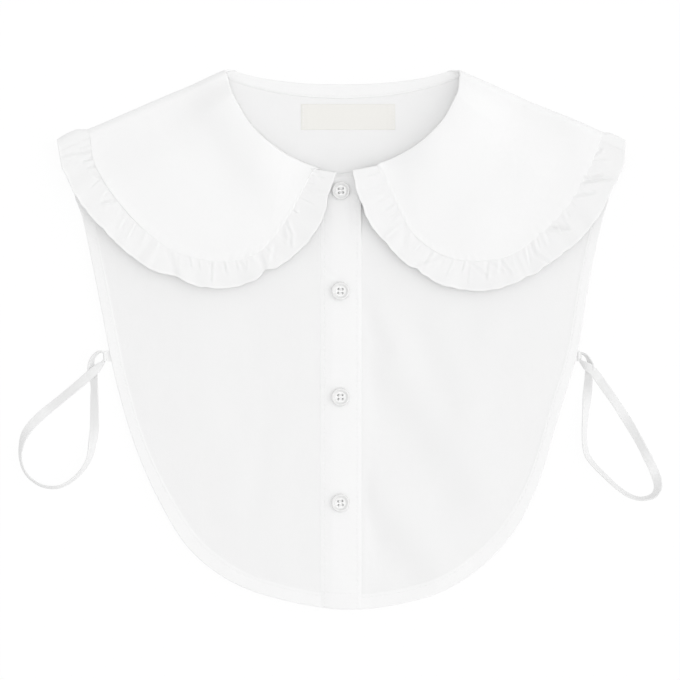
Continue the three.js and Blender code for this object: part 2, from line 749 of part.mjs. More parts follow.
// A ribbon loop: a flat section swept along its route, turned about the route by its roll
const sectionCorners = [
  [-1, -1],
  [1, -1],
  [1, 1],
  [-1, 1],
];
function loopSolid(route) {
  const path = smoothCurve(route);
  const total = path.getLength();
  const steps = Math.round(total / ribbon.step);
  const starts = route.map((row, i) => lengthTo(path, i, route.length) / total);
  const halfWidth = ribbon.width / 2;
  const halfWall = ribbon.thickness / 2;
  const sections = [];
  for (let i = 0; i <= steps; i++) {
    const share = i / steps;
    const next = clamp(starts.findIndex((start) => start >= share - 1e-9), 1, route.length - 1);
    const part = clamp((share - starts[next - 1]) / (starts[next] - starts[next - 1]), 0, 1);
    const roll = degToRad(lerp(route[next - 1].roll, route[next].roll, part));
    const lift = lerp(route[next - 1].lift, route[next].lift, part);
    const point = path.getPointAt(share);
    const ahead = path.getTangentAt(share);
    const level = at(ahead.y, -ahead.x);
    const wide = level.clone().multiplyScalar(Math.cos(roll)).setZ(Math.sin(roll));
    const thin = level.clone().multiplyScalar(-Math.sin(roll)).setZ(Math.cos(roll));
    const reach = Math.abs(Math.sin(roll)) * halfWidth + Math.abs(Math.cos(roll)) * halfWall;
    point.z = reach + lift;
    sections.push(
      sectionCorners.map(([w, t]) =>
        point.clone().addScaledVector(wide, w * halfWidth).addScaledVector(thin, t * halfWall),
      ),
    );
  }
  const triangles = [];
  for (let i = 0; i < sections.length - 1; i++)
    for (let k = 0; k < 4; k++) {
      const [a, b] = [4 * i + k, 4 * i + ((k + 1) % 4)];
      triangles.push(a, b + 4, b, a, a + 4, b + 4);
    }
  const last = 4 * (sections.length - 1);
  triangles.push(0, 1, 2, 0, 2, 3, last, last + 2, last + 1, last, last + 3, last + 2);
  return bodyFrom(sections.flat(), triangles);
}
function lengthTo(path, order, count) {
  const lengths = path.getLengths(curveDivisions);
  return lengths[Math.round((order / (count - 1)) * curveDivisions)];
}

// Materials
const cotton = new THREE.MeshStandardMaterial({ color: 0xf6f6f6, roughness: 0.9, metalness: 0 });
const labelCloth = new THREE.MeshStandardMaterial({ color: 0xecebe6, roughness: 0.7, metalness: 0 });
const buttonResin = new THREE.MeshStandardMaterial({ color: 0xf4f4f4, roughness: 0.3, metalness: 0 });
const elastic = new THREE.MeshStandardMaterial({ color: 0xf2f2f2, roughness: 0.55, metalness: 0 });

const collarGroup = new THREE.Group();
function add(name, geometry, material) {
  const mesh = new THREE.Mesh(geometry, material);
  mesh.name = name;
  collarGroup.add(mesh);
  return mesh;
}

add("back_panel", backPanelSolid(), cotton);
add("front_panel_left", frontPanelSolid("left"), cotton);
add("front_panel_right", frontPanelSolid("right"), cotton);
add("under_placket", stripSolid(underPlacket, -layerStep), cotton);
add("placket", stripSolid(placket, layerStep), cotton);
add("collar", collarSolid(), cotton);
add("frill", frillSolid(), cotton);
add("neck_binding", bindingSolid(), cotton);
add("label", labelSolid(), labelCloth);
buttonPlaces.forEach(({ x, y }, i) => {
  const mesh = add(`button_${i + 1}`, buttonGeometry(), buttonResin);
  mesh.position.set(x, y, frontZ(x, y) + layerStep + clothWall / 2 + pieceGap);
});
add("tab_left", tabSolid(-1), cotton);
add("tab_right", tabSolid(1), cotton);
add("loop_left", loopSolid(leftLoopRoute), elastic);
add("loop_right", loopSolid(rightLoopRoute), elastic);

export default collarGroup;
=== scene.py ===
import math

import bmesh
import bpy
import numpy as np
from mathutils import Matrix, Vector


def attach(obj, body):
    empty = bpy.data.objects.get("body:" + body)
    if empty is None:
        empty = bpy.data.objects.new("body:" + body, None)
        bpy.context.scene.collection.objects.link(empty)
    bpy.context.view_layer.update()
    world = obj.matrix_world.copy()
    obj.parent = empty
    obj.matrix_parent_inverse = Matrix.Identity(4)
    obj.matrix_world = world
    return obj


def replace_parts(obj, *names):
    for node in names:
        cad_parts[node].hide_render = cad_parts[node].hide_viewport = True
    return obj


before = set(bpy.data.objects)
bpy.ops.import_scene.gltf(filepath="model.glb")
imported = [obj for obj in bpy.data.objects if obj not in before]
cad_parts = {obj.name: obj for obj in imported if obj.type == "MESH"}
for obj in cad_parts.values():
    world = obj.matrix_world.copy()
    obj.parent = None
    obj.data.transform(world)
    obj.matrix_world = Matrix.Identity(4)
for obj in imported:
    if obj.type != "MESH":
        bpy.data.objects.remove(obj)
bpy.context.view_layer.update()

mm = 0.001  # tables and shapes below are in millimetres, x to the right, y towards the neck
rng = np.random.default_rng(11)

# Camera straight above the collar, with a long lens
photoView = {
    "pixels": 680,
    "mmPerPixel": 0.65,
    "middle": (-1.3, 0.5),
    "level": 7,  # height at which the scale holds
    "lens": 200,
    "sensor": 36,
}


def setCamera():
    lens = bpy.data.cameras.new("photoCamera")
    lens.lens, lens.sensor_width = photoView["lens"], photoView["sensor"]
    camera = bpy.data.objects.new("photoCamera", lens)
    width = photoView["pixels"] * photoView["mmPerPixel"] * mm
    away = width * photoView["lens"] / photoView["sensor"]
    x, y = photoView["middle"]
    camera.location = (x * mm, y * mm, photoView["level"] * mm + away)
    bpy.context.scene.collection.objects.link(camera)
    bpy.context.scene.camera = camera


setCamera()
print("camera set")


# Small sums used everywhere
def lerp(start, end, share):
    return start + (end - start) * share


def smoothstep(value, low, high):
    share = np.clip((value - low) / (high - low), 0, 1)
    return share * share * (3 - 2 * share)


def hump(distance, width):
    return np.exp(-((distance / width) ** 2))


def smoothCurve(points, steps=30):  # a curve through plan points, sampled finely
    pts = np.array(points, float)
    pts = np.vstack([2 * pts[0] - pts[1], pts, 2 * pts[-1] - pts[-2]])
    t = np.linspace(0, 1, steps, endpoint=False)[:, None]
    parts = []
    for p0, p1, p2, p3 in zip(pts, pts[1:], pts[2:], pts[3:]):
        pairs = ((p0, p1), (p1, p2), (p2, p3))
        d0, d1, d2 = (max(np.linalg.norm((b - a)[:2]) ** 0.5, 1e-4) for a, b in pairs)
        m1 = ((p1 - p0) / d0 - (p2 - p0) / (d0 + d1) + (p2 - p1) / d1) * d1
        m2 = ((p2 - p1) / d1 - (p3 - p1) / (d1 + d2) + (p3 - p2) / d2) * d1
        bend = 3 * (p2 - p1) - 2 * m1 - m2
        parts.append(p1 + t * m1 + t**2 * bend + t**3 * (2 * (p1 - p2) + m1 + m2))
    parts.append(pts[-2][None])
    return np.vstack(parts)


def lengthsAlong(line):
    return np.concatenate([[0], np.cumsum(np.linalg.norm(np.diff(line, axis=0), axis=1))])


def alongCurve(line, shares):  # points at shares of a line's length
    lengths = lengthsAlong(line)
    where = np.asarray(shares) * lengths[-1]
    return np.stack([np.interp(where, lengths, line[:, k]) for k in range(line.shape[1])], axis=-1)


# Finishes
def newFinish(name, colour, roughness, specular):
    finish = bpy.data.materials.new(name)
    finish.use_nodes = True
    tree = finish.node_tree
    tree.nodes.clear()
    shader = tree.nodes.new("ShaderNodeBsdfPrincipled")
    output = tree.nodes.new("ShaderNodeOutputMaterial")
    tree.links.new(shader.outputs["BSDF"], output.inputs["Surface"])
    shader.inputs["Base Color"].default_value = (*colour, 1)
    shader.inputs["Roughness"].default_value = roughness
    shader.inputs["Specular IOR Level"].default_value = specular
    return finish, tree, shader


def sums(tree, operation, *values):
    node = tree.nodes.new("ShaderNodeMath")
    node.operation = operation
    for socket, value in zip(node.inputs, values):
        if isinstance(value, (int, float)):
            socket.default_value = value
        else:
            tree.links.new(value, socket)
    return node.outputs[0]


def clothPlace(tree):  # u and v along the threads, in millimetres, and how doubled the cloth is, which sets its painted shade
    place = tree.nodes.new("ShaderNodeAttribute")
    place.attribute_name = "weave"
    split = tree.nodes.new("ShaderNodeSeparateXYZ")
    tree.links.new(place.outputs["Vector"], split.inputs[0])
    return place.outputs["Vector"], split.outputs


def noiseAt(tree, place, scales, detail=2.0, roughness=0.5):
    stretch = tree.nodes.new("ShaderNodeVectorMath")
    stretch.operation = "MULTIPLY"
    tree.links.new(place, stretch.inputs[0])
    stretch.inputs[1].default_value = (*scales, 0)
    noise = tree.nodes.new("ShaderNodeTexNoise")
    tree.links.new(stretch.outputs[0], noise.inputs["Vector"])
    noise.inputs["Scale"].default_value = 1
    noise.inputs["Detail"].default_value = detail
    noise.inputs["Roughness"].default_value = roughness
    return noise.outputs[0]


def mixColour(tree, share, first, second):
    mix = tree.nodes.new("ShaderNodeMix")
    mix.data_type = "RGBA"
    for socket, value in zip((mix.inputs[0], mix.inputs[6], mix.inputs[7]), (share, first, second)):
        if isinstance(value, tuple):
            socket.default_value = (*value, 1)
        elif isinstance(value, (int, float)):
            socket.default_value = value
        else:
            tree.links.new(value, socket)
    return mix.outputs[2]


def colourFrom(tree, shader, share, first, second):
    tree.links.new(mixColour(tree, share, first, second), shader.inputs["Base Color"])


def ridges(tree, value, turns):  # rounded ridges, 0 between them and 1 on top
    return sums(tree, "ABSOLUTE", sums(tree, "SINE", sums(tree, "MULTIPLY", value, turns)))


def bumpFrom(tree, shader, height):  # the height is in millimetres
    bump = tree.nodes.new("ShaderNodeBump")
    bump.inputs["Strength"].default_value = 1
    bump.inputs["Distance"].default_value = mm
    tree.links.new(height, bump.inputs["Height"])
    tree.links.new(bump.outputs["Normal"], shader.inputs["Normal"])


def threadsOver(tree, u, v, pitchU, pitchV):  # a plain weave, 0 between the threads and 1 on them
    warp = sums(tree, "SINE", sums(tree, "MULTIPLY", u, math.pi / pitchU))
    weft = sums(tree, "SINE", sums(tree, "MULTIPLY", v, math.pi / pitchV))
    over = sums(tree, "MULTIPLY_ADD", sums(tree, "MULTIPLY", warp, weft), 2.5, 0.5)
    over = sums(tree, "MINIMUM", sums(tree, "MAXIMUM", over, 0.0), 1.0)
    rise = sums(tree, "SUBTRACT", sums(tree, "ABSOLUTE", warp), sums(tree, "ABSOLUTE", weft))
    return sums(tree, "MULTIPLY_ADD", over, rise, sums(tree, "ABSOLUTE", weft))


poplin = {
    "singleLayerShaded": (0.876, 0.876, 0.876),  # one layer of cloth, painted a little greyer than two: painted shade for the light that passes through one layer
    "double": (0.922, 0.922, 0.922),
    "gap": (0.80, 0.80, 0.80),  # painted shade between the threads
    "fibre": (0.96, 0.96, 0.96),
    "patchShade": 0.97,  # faint darker patches, as a share of the single layer's colour
    "pitch": 0.3,
    "weaveDepth": 0.02,
    "slubDepth": 0.02,
    "pressedDepth": 0.22,  # faint pressed creases
    "roughness": 0.9,
    "sheen": 0.08,
}


def poplinFinish():
    finish, tree, shader = newFinish("cottonPoplin", poplin["double"], poplin["roughness"], 0.25)
    place, (u, v, layers) = clothPlace(tree)
    threads = threadsOver(tree, u, v, poplin["pitch"], poplin["pitch"])
    slubs = sums(tree, "ADD", noiseAt(tree, place, (2.6, 0.07)), noiseAt(tree, place, (0.07, 2.6)))
    mottle = noiseAt(tree, place, (0.035, 0.028), 3.0, 0.45)
    creases = noiseAt(tree, place, (0.09, 0.06), 3.0, 0.5)
    # painted shade: single cloth gets a greyer colour than doubled cloth, for the light lost through one
    # layer
    cloth = mixColour(tree, layers, poplin["singleLayerShaded"], poplin["double"])
    patch = sums(tree, "MULTIPLY_ADD", mottle, 0.24, -0.04)
    cloth = mixColour(tree, patch, cloth, tuple(poplin["patchShade"] * c for c in poplin["singleLayerShaded"]))
    fibre = sums(tree, "MULTIPLY_ADD", slubs, 0.10, 0.0)
    cloth = mixColour(tree, fibre, cloth, poplin["fibre"])
    shade = sums(tree, "MULTIPLY", sums(tree, "SUBTRACT", 1.0, threads), 0.35)
    cloth = mixColour(tree, shade, cloth, poplin["gap"])
    tree.links.new(cloth, shader.inputs["Base Color"])
    rough = sums(tree, "MULTIPLY_ADD", slubs, 0.08, poplin["roughness"] - 0.08)
    tree.links.new(rough, shader.inputs["Roughness"])
    height = sums(tree, "MULTIPLY", threads, poplin["weaveDepth"])
    height = sums(tree, "MULTIPLY_ADD", slubs, poplin["slubDepth"], height)
    height = sums(tree, "MULTIPLY_ADD", creases, poplin["pressedDepth"], height)
    bumpFrom(tree, shader, height)
    shader.inputs["Sheen Weight"].default_value = poplin["sheen"]
    shader.inputs["Sheen Roughness"].default_value = 0.5
    return finish


looks = {  # darkest and lightest colour, roughness, and pitches in millimetres
    "thread": {"shade": (0.80, 0.80, 0.80), "light": (0.93, 0.93, 0.93), "roughness": 0.55},
    "label": {"shade": (0.79, 0.78, 0.748), "light": (0.86, 0.85, 0.82), "roughness": 0.42, "ribs": 0.22},
    "elastic": {
        "shade": (0.75, 0.75, 0.75),
        "light": (0.90, 0.90, 0.90),
        "roughness": 0.7,
        "cords": 0.6,
        "picks": 0.45,
    },
    "resin": {"shade": (0.76, 0.76, 0.755), "light": (0.84, 0.84, 0.835), "roughness": 0.22},
}


def threadFinish():
    look = looks["thread"]
    finish, tree, shader = newFinish("sewingThread", (0.90, 0.90, 0.90), look["roughness"], 0.4)
    _, (u, v, _) = clothPlace(tree)
    twist = ridges(tree, sums(tree, "ADD", u, v), 9.0)
    # painted shade in the grooves of the twist, painted light on its ridges
    colourFrom(tree, shader, twist, look["shade"], look["light"])
    bumpFrom(tree, shader, sums(tree, "MULTIPLY", twist, 0.03))
    return finish


def labelFinish():
    look = looks["label"]
    finish, tree, shader = newFinish("labelSatin", (0.80, 0.785, 0.74), look["roughness"], 0.5)
    place, (_, v, _) = clothPlace(tree)
    ribs = ridges(tree, v, math.pi / look["ribs"])
    floats = noiseAt(tree, place, (0.5, 5.0))
    # painted shade between the ribs, lighter on them
    mix = sums(tree, "MULTIPLY_ADD", floats, 0.5, sums(tree, "MULTIPLY", ribs, 0.35))
    colourFrom(tree, shader, mix, look["shade"], look["light"])
    bumpFrom(tree, shader, sums(tree, "MULTIPLY_ADD", floats, 0.02, sums(tree, "MULTIPLY", ribs, 0.012)))
    shader.inputs["Anisotropic"].default_value = 0.4
    return finish


def elasticFinish():
    look = looks["elastic"]
    finish, tree, shader = newFinish("wovenElastic", (0.84, 0.84, 0.84), look["roughness"], 0.3)
    place, (u, v, _) = clothPlace(tree)
    cords = ridges(tree, u, math.pi / look["cords"])
    picks = ridges(tree, v, math.pi / look["picks"])
    # darker and lighter streaks along the ribbon, partly wear and partly painted satin sheen and shade
    wearAndSheenStreaks = noiseAt(tree, place, (0.6, 0.05))
    # painted shade between the cords, lighter on them
    mix = sums(tree, "MULTIPLY_ADD", wearAndSheenStreaks, 0.5, sums(tree, "MULTIPLY", cords, 0.4))
    colourFrom(tree, shader, mix, look["shade"], look["light"])
    height = sums(tree, "MULTIPLY_ADD", cords, 0.025, sums(tree, "MULTIPLY", picks, 0.01))
    bumpFrom(tree, shader, height)
    shader.inputs["Sheen Weight"].default_value = 0.1
    return finish


def resinFinish():
    look = looks["resin"]
    finish, tree, shader = newFinish("buttonResin", (0.80, 0.80, 0.795), look["roughness"], 0.5)
    place, _ = clothPlace(tree)
    cloud = noiseAt(tree, place, (0.35, 0.9), 3.0)
    colourFrom(tree, shader, cloud, look["shade"], look["light"])
    tree.links.new(sums(tree, "MULTIPLY_ADD", cloud, 0.12, 0.16), shader.inputs["Roughness"])
    shader.inputs["Coat Weight"].default_value = 0.15
    shader.inputs["Coat Roughness"].default_value = 0.3
    return finish


finishes = {
    "poplin": (poplinFinish(), "cotton"),
    "thread": (threadFinish(), "cotton"),
    "label": (labelFinish(), "label_cloth"),
    "elastic": (elasticFinish(), "elastic"),
    "resin": (resinFinish(), "button_resin"),
}
print("finishes made")


# Meshes
def unit(vectors):
    return vectors / np.maximum(np.linalg.norm(vectors, axis=-1, keepdims=True), 1e-9)


def addPiece(name, points, faces, finish, weave, sharp=None):
    mesh = bpy.data.meshes.new(name)
    mesh.from_pydata((np.asarray(points) * mm).tolist(), [], [list(map(int, f)) for f in faces])
    mesh.polygons.foreach_set("use_smooth", [True] * len(mesh.polygons))
    mesh.attributes.new("weave", "FLOAT_VECTOR", "POINT").data.foreach_set("vector", np.ravel(weave))
    mesh.update()
    work = bmesh.new()
    work.from_mesh(mesh)
    bmesh.ops.recalc_face_normals(work, faces=work.faces)
    if work.calc_volume(signed=True) < 0:
        bmesh.ops.reverse_faces(work, faces=work.faces)
    for edge in work.edges if sharp else ():
        edge.smooth = edge.calc_face_angle(0) < sharp
    work.to_mesh(mesh)
    work.free()
    piece = bpy.data.objects.new(name, mesh)
    bpy.context.scene.collection.objects.link(piece)
    material, slot = finishes[finish]
    mesh.materials.append(material)
    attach(piece, "root")
    return piece


def alongEdges(points):  # at each edge point of a grid, the direction out of the cloth's edge
    out = np.zeros_like(points)
    out[0] += unit(points[0] - points[1])
    out[-1] += unit(points[-1] - points[-2])
    out[:, 0] += unit(points[:, 0] - points[:, 1])
    out[:, -1] += unit(points[:, -1] - points[:, -2])
    return out


def addCloth(name, middle, wall, weave, finish="poplin"):  # a wall of cloth round a grid of points
    rows, columns = middle.shape[:2]
    normal = unit(np.cross(np.gradient(middle, axis=0), np.gradient(middle, axis=1)))
    if normal[..., 2].sum() < 0:
        middle, weave, normal = middle[::-1], weave[::-1], -normal[::-1]
        wall = wall[::-1] if np.ndim(wall) == 2 else wall
    half = np.broadcast_to(np.asarray(wall, float) / 2, (rows, columns))[..., None]
    upper, lower = middle + normal * half, middle - normal * half
    edge = alongEdges(middle)
    edge = unit(edge - normal * np.sum(edge * normal, axis=-1, keepdims=True))
    order = np.arange(rows * columns).reshape(rows, columns)
    ring = np.concatenate([order[0, :-1], order[:-1, -1], order[-1, :0:-1], order[:0:-1, 0]])
    rim = (middle + edge * half * 0.85).reshape(-1, 3)[ring]
    count = rows * columns
    a, b, c, d = (order[:-1, :-1], order[1:, :-1], order[1:, 1:], order[:-1, 1:])
    top = np.stack([a, b, c, d], axis=-1).reshape(-1, 4)
    bottom = top[:, ::-1] + count
    here, ahead = ring, np.roll(ring, -1)
    mid = 2 * count + np.arange(len(ring))
    midAhead = np.roll(mid, -1)
    rimTop = np.stack([here, ahead, midAhead, mid], axis=-1)
    rimBottom = np.stack([mid, midAhead, ahead + count, here + count], axis=-1)
    points = np.vstack([upper.reshape(-1, 3), lower.reshape(-1, 3), rim])
    place = np.broadcast_to(weave, middle.shape).reshape(-1, 3)
    faces = np.vstack([top, bottom, rimTop, rimBottom])
    piece = addPiece(name, points, faces, finish, np.vstack([place, place, place[ring]]))
    return piece, upper, normal


def sweepFaces(rings, sides, first=0, closed=True):  # faces of a tube of rings of points
    grid = first + np.arange(rings * sides).reshape(rings, sides)
    ahead = np.roll(grid, -1, axis=1)
    faces = np.stack([grid[:-1], ahead[:-1], ahead[1:], grid[1:]], axis=-1).reshape(-1, 4).tolist()
    return faces + ([grid[0, ::-1].tolist(), grid[-1].tolist()] if closed else [])


def addStitches(name, lines, pitch=3.0, length=2.35, radius=0.15):  # lines of (points, normals)
    points, faces, weave = [], [], []
    lift = np.array([-0.8, 0.2, 0.75, 0.2, -0.8]) * radius
    thin = np.array([0.35, 0.85, 1, 0.85, 0.35]) * radius
    angles = np.arange(6) * math.pi / 3
    for line, normals in lines:
        far = lengthsAlong(line)[-1]
        for centre in np.arange(pitch / 2, far, pitch):
            spots = np.clip(centre + np.linspace(-0.5, 0.5, 5) * length, 0, far)
            path = alongCurve(line, spots / far)
            up = unit(alongCurve(normals, np.full(5, centre / far)))
            side = unit(np.cross(path[-1] - path[0], up[0]))
            middle = path + up * lift[:, None]
            ring = np.cos(angles)[None, :, None] * side + np.sin(angles)[None, :, None] * up[:, None]
            rings = middle[:, None] + ring * thin[:, None, None]
            faces += sweepFaces(5, 6, 30 * len(points))
            points.append(rings.reshape(-1, 3))
            run = np.repeat(spots - centre, 6)
            weave.append(np.stack([run, np.tile(angles, 5) * radius, 0 * run], axis=-1))
    return addPiece(name, np.vstack(points), faces, "thread", np.vstack(weave))


# Elastic loops: the same routes as in the plain model, with lift off the surface and roll in degrees
ribbon = {
    "width": 6.0,
    "thickness": 0.85,
    "edgeBead": 0.16,  # the woven edges are a little thicker
    "step": 1.0,
    "gatherReach": 9.0,  # near the tab the ribbon is drawn together over this length
    "gatherWidth": 0.36,
}
leftLoopRoute = [
    (-154.4, -10, 0.85, 80),
    (-155.1, -13.2, 0.4, 76),
    (-157.6, -16.2, 0.9, 44),
    (-162.8, -20.9, 2.0, 10),
    (-170.3, -27.5, 1.4, -8),
    (-183, -38, 0.3, -16),
    (-196.3, -49, 0.2, 6),
    (-202.8, -55.6, 0.2, -8),
    (-207, -62, 0.1, -34),
    (-209, -69, 0, -58),
    (-209.4, -76, 0, -71),
    (-207, -84.5, 0, -75),
    (-202, -90.5, 0, -74),
    (-194.5, -94.7, 0, -73),
    (-185.5, -95.4, 0, -73),
    (-177.5, -92, 0, -73),
    (-170, -85.3, 0, -70),
    (-164.8, -77, 0, -58),
    (-162.3, -65, 0, -28),
    (-161.4, -58, 0, -2),
    (-161.2, -50, 0, 16),
    (-161.3, -38.5, 0, 28),
    (-161.4, -28, 0, 34),
    (-162.6, -21, 0, -10),
    (-163.4, -16.4, 0, -44),
    (-162.6, -12, 0, -66),
    (-160.4, -8.8, 0, -74),
    (-157.6, -7, 0.2, -78),
    (-155.4, -7.6, 0.5, -80),
    (-154.4, -9.8, 0.85, -80),
]
rightLoopRoute = [
    (154.4, -10, 0.85, -80),
    (155.2, -13, 0.4, -76),
    (157.8, -15.4, 1.4, -44),
    (161.8, -18.4, 2.6, -8),
    (166, -22.8, 2.2, 8),
    (170, -28.5, 1.0, -8),
    (178.8, -41, 0.1, 20),
    (188.3, -56, 0, -14),
    (196.6, -71, 0, -26),
    (202.3, -82.5, 0, 16),
    (205.2, -90, 0, -14),
    (205.7, -96, 0, -38),
    (203, -100.6, 0, -56),
    (195.5, -102.9, 0, -69),
    (187.5, -101, 0, -68),
    (179.5, -95.7, 0, -64),
    (171.8, -88.6, 0, -62),
    (164.6, -81.4, 0, -60),
    (160.2, -75.5, 0, -54),
    (158.5, -70, 0, -54),
    (157.9, -65, 0, -56),
    (157.8, -60, 0, -55),
    (158.2, -52, 0, -50),
    (159, -43, 0, -36),
    (160, -34, 0, 4),
    (160.6, -26, 0, 34),
    (161.2, -20, 0, 28),
    (161.9, -16.4, 0, 46),
    (160.9, -12.8, 0, 66),
    (159.2, -10, 0, 74),
    (157, -8.4, 0.2, 80),
    (155.5, -8.2, 0.5, 80),
    (154.4, -9.8, 0.85, 80),
]


def ribbonSection():  # across the ribbon: place along its width and its half thickness there
    angle = np.linspace(0, 2 * math.pi, 36, endpoint=False)
    wide = np.sign(np.cos(angle)) * np.abs(np.cos(angle)) ** 0.7
    thin = np.sign(np.sin(angle)) * np.abs(np.sin(angle)) ** 0.45
    bead = 1 + ribbon["edgeBead"] * 2 * hump(np.abs(wide) - 0.86, 0.08)
    return wide, thin * bead


def addLoop(name, route):
    fine = smoothCurve(route)
    run = lengthsAlong(fine[:, :2])
    count = int(round(run[-1] / ribbon["step"])) + 1
    at = np.linspace(0, run[-1], count)
    x, y, lift, roll = (np.interp(at, run, fine[:, k]) for k in range(4))
    roll = np.radians(roll)
    ahead = unit(np.stack([np.gradient(x), np.gradient(y)], axis=-1))
    level = np.stack([ahead[:, 1], -ahead[:, 0], 0 * x], axis=-1)
    up = np.array([0, 0, 1.0])
    cos, sin = np.cos(roll)[:, None], np.sin(roll)[:, None]
    wide, thin = level * cos + up * sin, -level * sin + up * cos
    fromEnd = np.minimum(at, run[-1] - at)
    narrow = lerp(ribbon["gatherWidth"], 1, smoothstep(fromEnd, 0, ribbon["gatherReach"]))
    halfWidth = ribbon["width"] / 2 * narrow
    halfWall = ribbon["thickness"] / 2 / np.sqrt(narrow)
    height = np.abs(np.sin(roll)) * halfWidth + np.abs(np.cos(roll)) * halfWall + np.maximum(lift, 0)
    centre = np.stack([x, y, height], axis=-1)
    w, t = ribbonSection()
    rings = centre[:, None] + wide[:, None] * (halfWidth[:, None] * w)[..., None]
    rings = rings + thin[:, None] * (halfWall[:, None] * t)[..., None]
    faces = sweepFaces(count, len(w))
    across = np.broadcast_to(w * ribbon["width"] / 2, (count, len(w)))
    weave = np.stack([across, np.broadcast_to(at[:, None], across.shape), 0 * across], axis=-1)
    loop = addPiece(name, rings.reshape(-1, 3), faces, "elastic", weave.reshape(-1, 3))
    return loop


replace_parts(addLoop("elasticLoopLeft", leftLoopRoute), "loop_left")
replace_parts(addLoop("elasticLoopRight", rightLoopRoute), "loop_right")


# The way the collar lies: heights of its layers' middles, and its fold over each shoulder
lie = {
    "wall": 1.0,  # the layers are spaced for cloth this thick
    "backCollar": 0.5,
    "backPanel": 2.3,
    "frontAtEdge": 2.6,  # fronts above the back panel, at the hem and further in
    "frontInside": 3.5,
    "frontReach": 40,
    "neckLift": {-1: 0.0, 1: 1.5},
    "neckSink": 2.2,  # by the top button the fronts lie closer to the back
    "leafNeck": 9.0,
    "leafSeam": 10.5,
    "leafCrown": 0.8,
    "frillRise": 0.8,
    "neckPoint": (76, 176.6),
    "slope": math.radians(23.5),
    "leafReach": {-1: 98.0, 1: 102.5},  # along the shoulder
    "frillReach": 120.3,
    "frillDraw": 2.0,
    "frillPuff": {-1: 3.2, 1: 1.8},
    "neckShift": 7.0,
    "neckAhead": {-1: 0.0, 1: 2.1},  # the right front's neck edge meets the shoulder further out
    "neckTurn": {-1: 0.44 * math.pi, 1: 0.5 * math.pi},  # from here the neck edge moves towards the centre
    "panelReach": 104.0,
    "frontRoll": 1.6,
    "backRoll": 0.9,
    "stand": 4.0,
    "seamGap": 0.8,
    "fall": 3.8,  # the collar's front bends down over this width along the shoulder
    "fallReach": 38,
    "fallStart": (4, 48),  # along the shoulder, no fall at the neck and all of it past this
    "dropStart": 3,  # past the back frill the back panel comes down to the surface
    "dropEnd": 75,
}
outlines = {  # by side, -1 left and 1 right, and part, 0 front and 2 back; from the centre to the shoulder
    (-1, 0): {
        "neck": [
            (-14.6, 112.1), (-27.5, 117), (-40.8, 124.3), (-56.6, 137.5), (-66.7, 152.3), (-72.6, 164.9),
        ],
        "seam": [
            (-19, 111.4), (-26.8, 95.4), (-37, 77), (-52.8, 58.8), (-66.5, 52.6), (-92, 53), (-112, 60),
            (-129, 72.5), (-142, 86.5), (-153, 101), (-161.5, 117.5),
        ],
        "frill": [
            (-3.2, 108.9), (-8.7, 96.5), (-11.2, 83), (-19.6, 67.9), (-31, 55.6), (-44.4, 46.7),
            (-60.2, 37.9), (-76, 34.2), (-91.8, 35.2), (-111.6, 42.3), (-124.8, 46.8), (-137.7, 55.4),
            (-150.3, 67.7), (-163.3, 81.2), (-174.3, 97), (-182, 114.4),
        ],
    },
    (1, 0): {
        "neck": [(25, 115.7), (34.9, 119.7), (51, 129.4), (65.7, 144.3), (72.2, 156.3), (75, 162.4)],
        "seam": [
            (22.5, 113.6), (28.6, 102.5), (36.5, 86), (47.5, 68), (67, 55), (86.5, 51.8), (109, 55.7),
            (126, 67), (138.5, 78.5), (148, 89.5), (156.5, 104), (163.2, 118.5),
        ],
        "frill": [
            (7.0, 110.6), (8.9, 100.5), (11.7, 91.5), (18.2, 76.5), (31, 60), (44, 48.5), (63.7, 37),
            (80, 33), (96, 33), (119, 40), (132, 48.5), (144.7, 57.9), (157.4, 69.2), (168.8, 85),
            (177, 101), (183.5, 115),
        ],
    },
}
backOutlines = {  # from the shoulder to the centre back, the same on both sides
    "neck": [(53, 171.3), (27, 167.9), (0, 166.9)],
    "seam": [(154, 118.5), (134.5, 99.5), (105, 84), (66, 74.5), (0, 70.5)],
    "frill": [(176, 107.5), (160.5, 89.5), (131, 70.5), (92, 59), (47, 54), (0, 52.5)],
}
for side in (-1, 1):
    outlines[side, 2] = {
        line: [(side * x, y) for x, y in rows] for line, rows in backOutlines.items()
    }
bibOutlines = {
    -1: [
        (-174, 114), (-174, 96), (-169, 81.5), (-162, 49), (-155, 13.5), (-147.5, -23.5),
        (-134.5, -68), (-118, -105.5), (-99, -135.5), (-73, -156), (-40, -168.5), (0, -176),
    ],
    1: [
        (174, 114), (174, 96), (169, 77), (161, 39.5), (153, -8), (141.5, -46.5), (126, -97),
        (110, -126.5), (88, -149), (64, -163.5), (31, -173), (0, -176),
    ],
}


def leafHeight(share):
    return lerp(lie["leafNeck"], lie["leafSeam"], share) + lie["leafCrown"] * np.sin(math.pi * share)


def frillHeight(column):
    return lie["leafSeam"] + lie["frillRise"] * column


def sided(values, side):  # a value that isn't the same on the left and on the right
    return np.where(np.asarray(side) < 0, values[-1], values[1])


def leafReach(side):
    return sided(lie["leafReach"], side)


def foldRadius(side, distance):
    seam, hem = leafReach(side), lie["frillReach"]
    distance = np.maximum(distance, 0)
    onFrill = frillHeight((distance - seam) / (hem - seam))
    top = np.where(distance < seam, leafHeight(distance / seam), onFrill)
    return (top - lie["backCollar"]) / 2


def shoulderAxes(side):  # along the shoulder away from the neck, and out over its edge
    cos, sin = math.cos(lie["slope"]), math.sin(lie["slope"])
    side = np.asarray(side, float)
    return np.stack([side * cos, 0 * side - sin], axis=-1), np.stack([side * sin, 0 * side + cos], axis=-1)


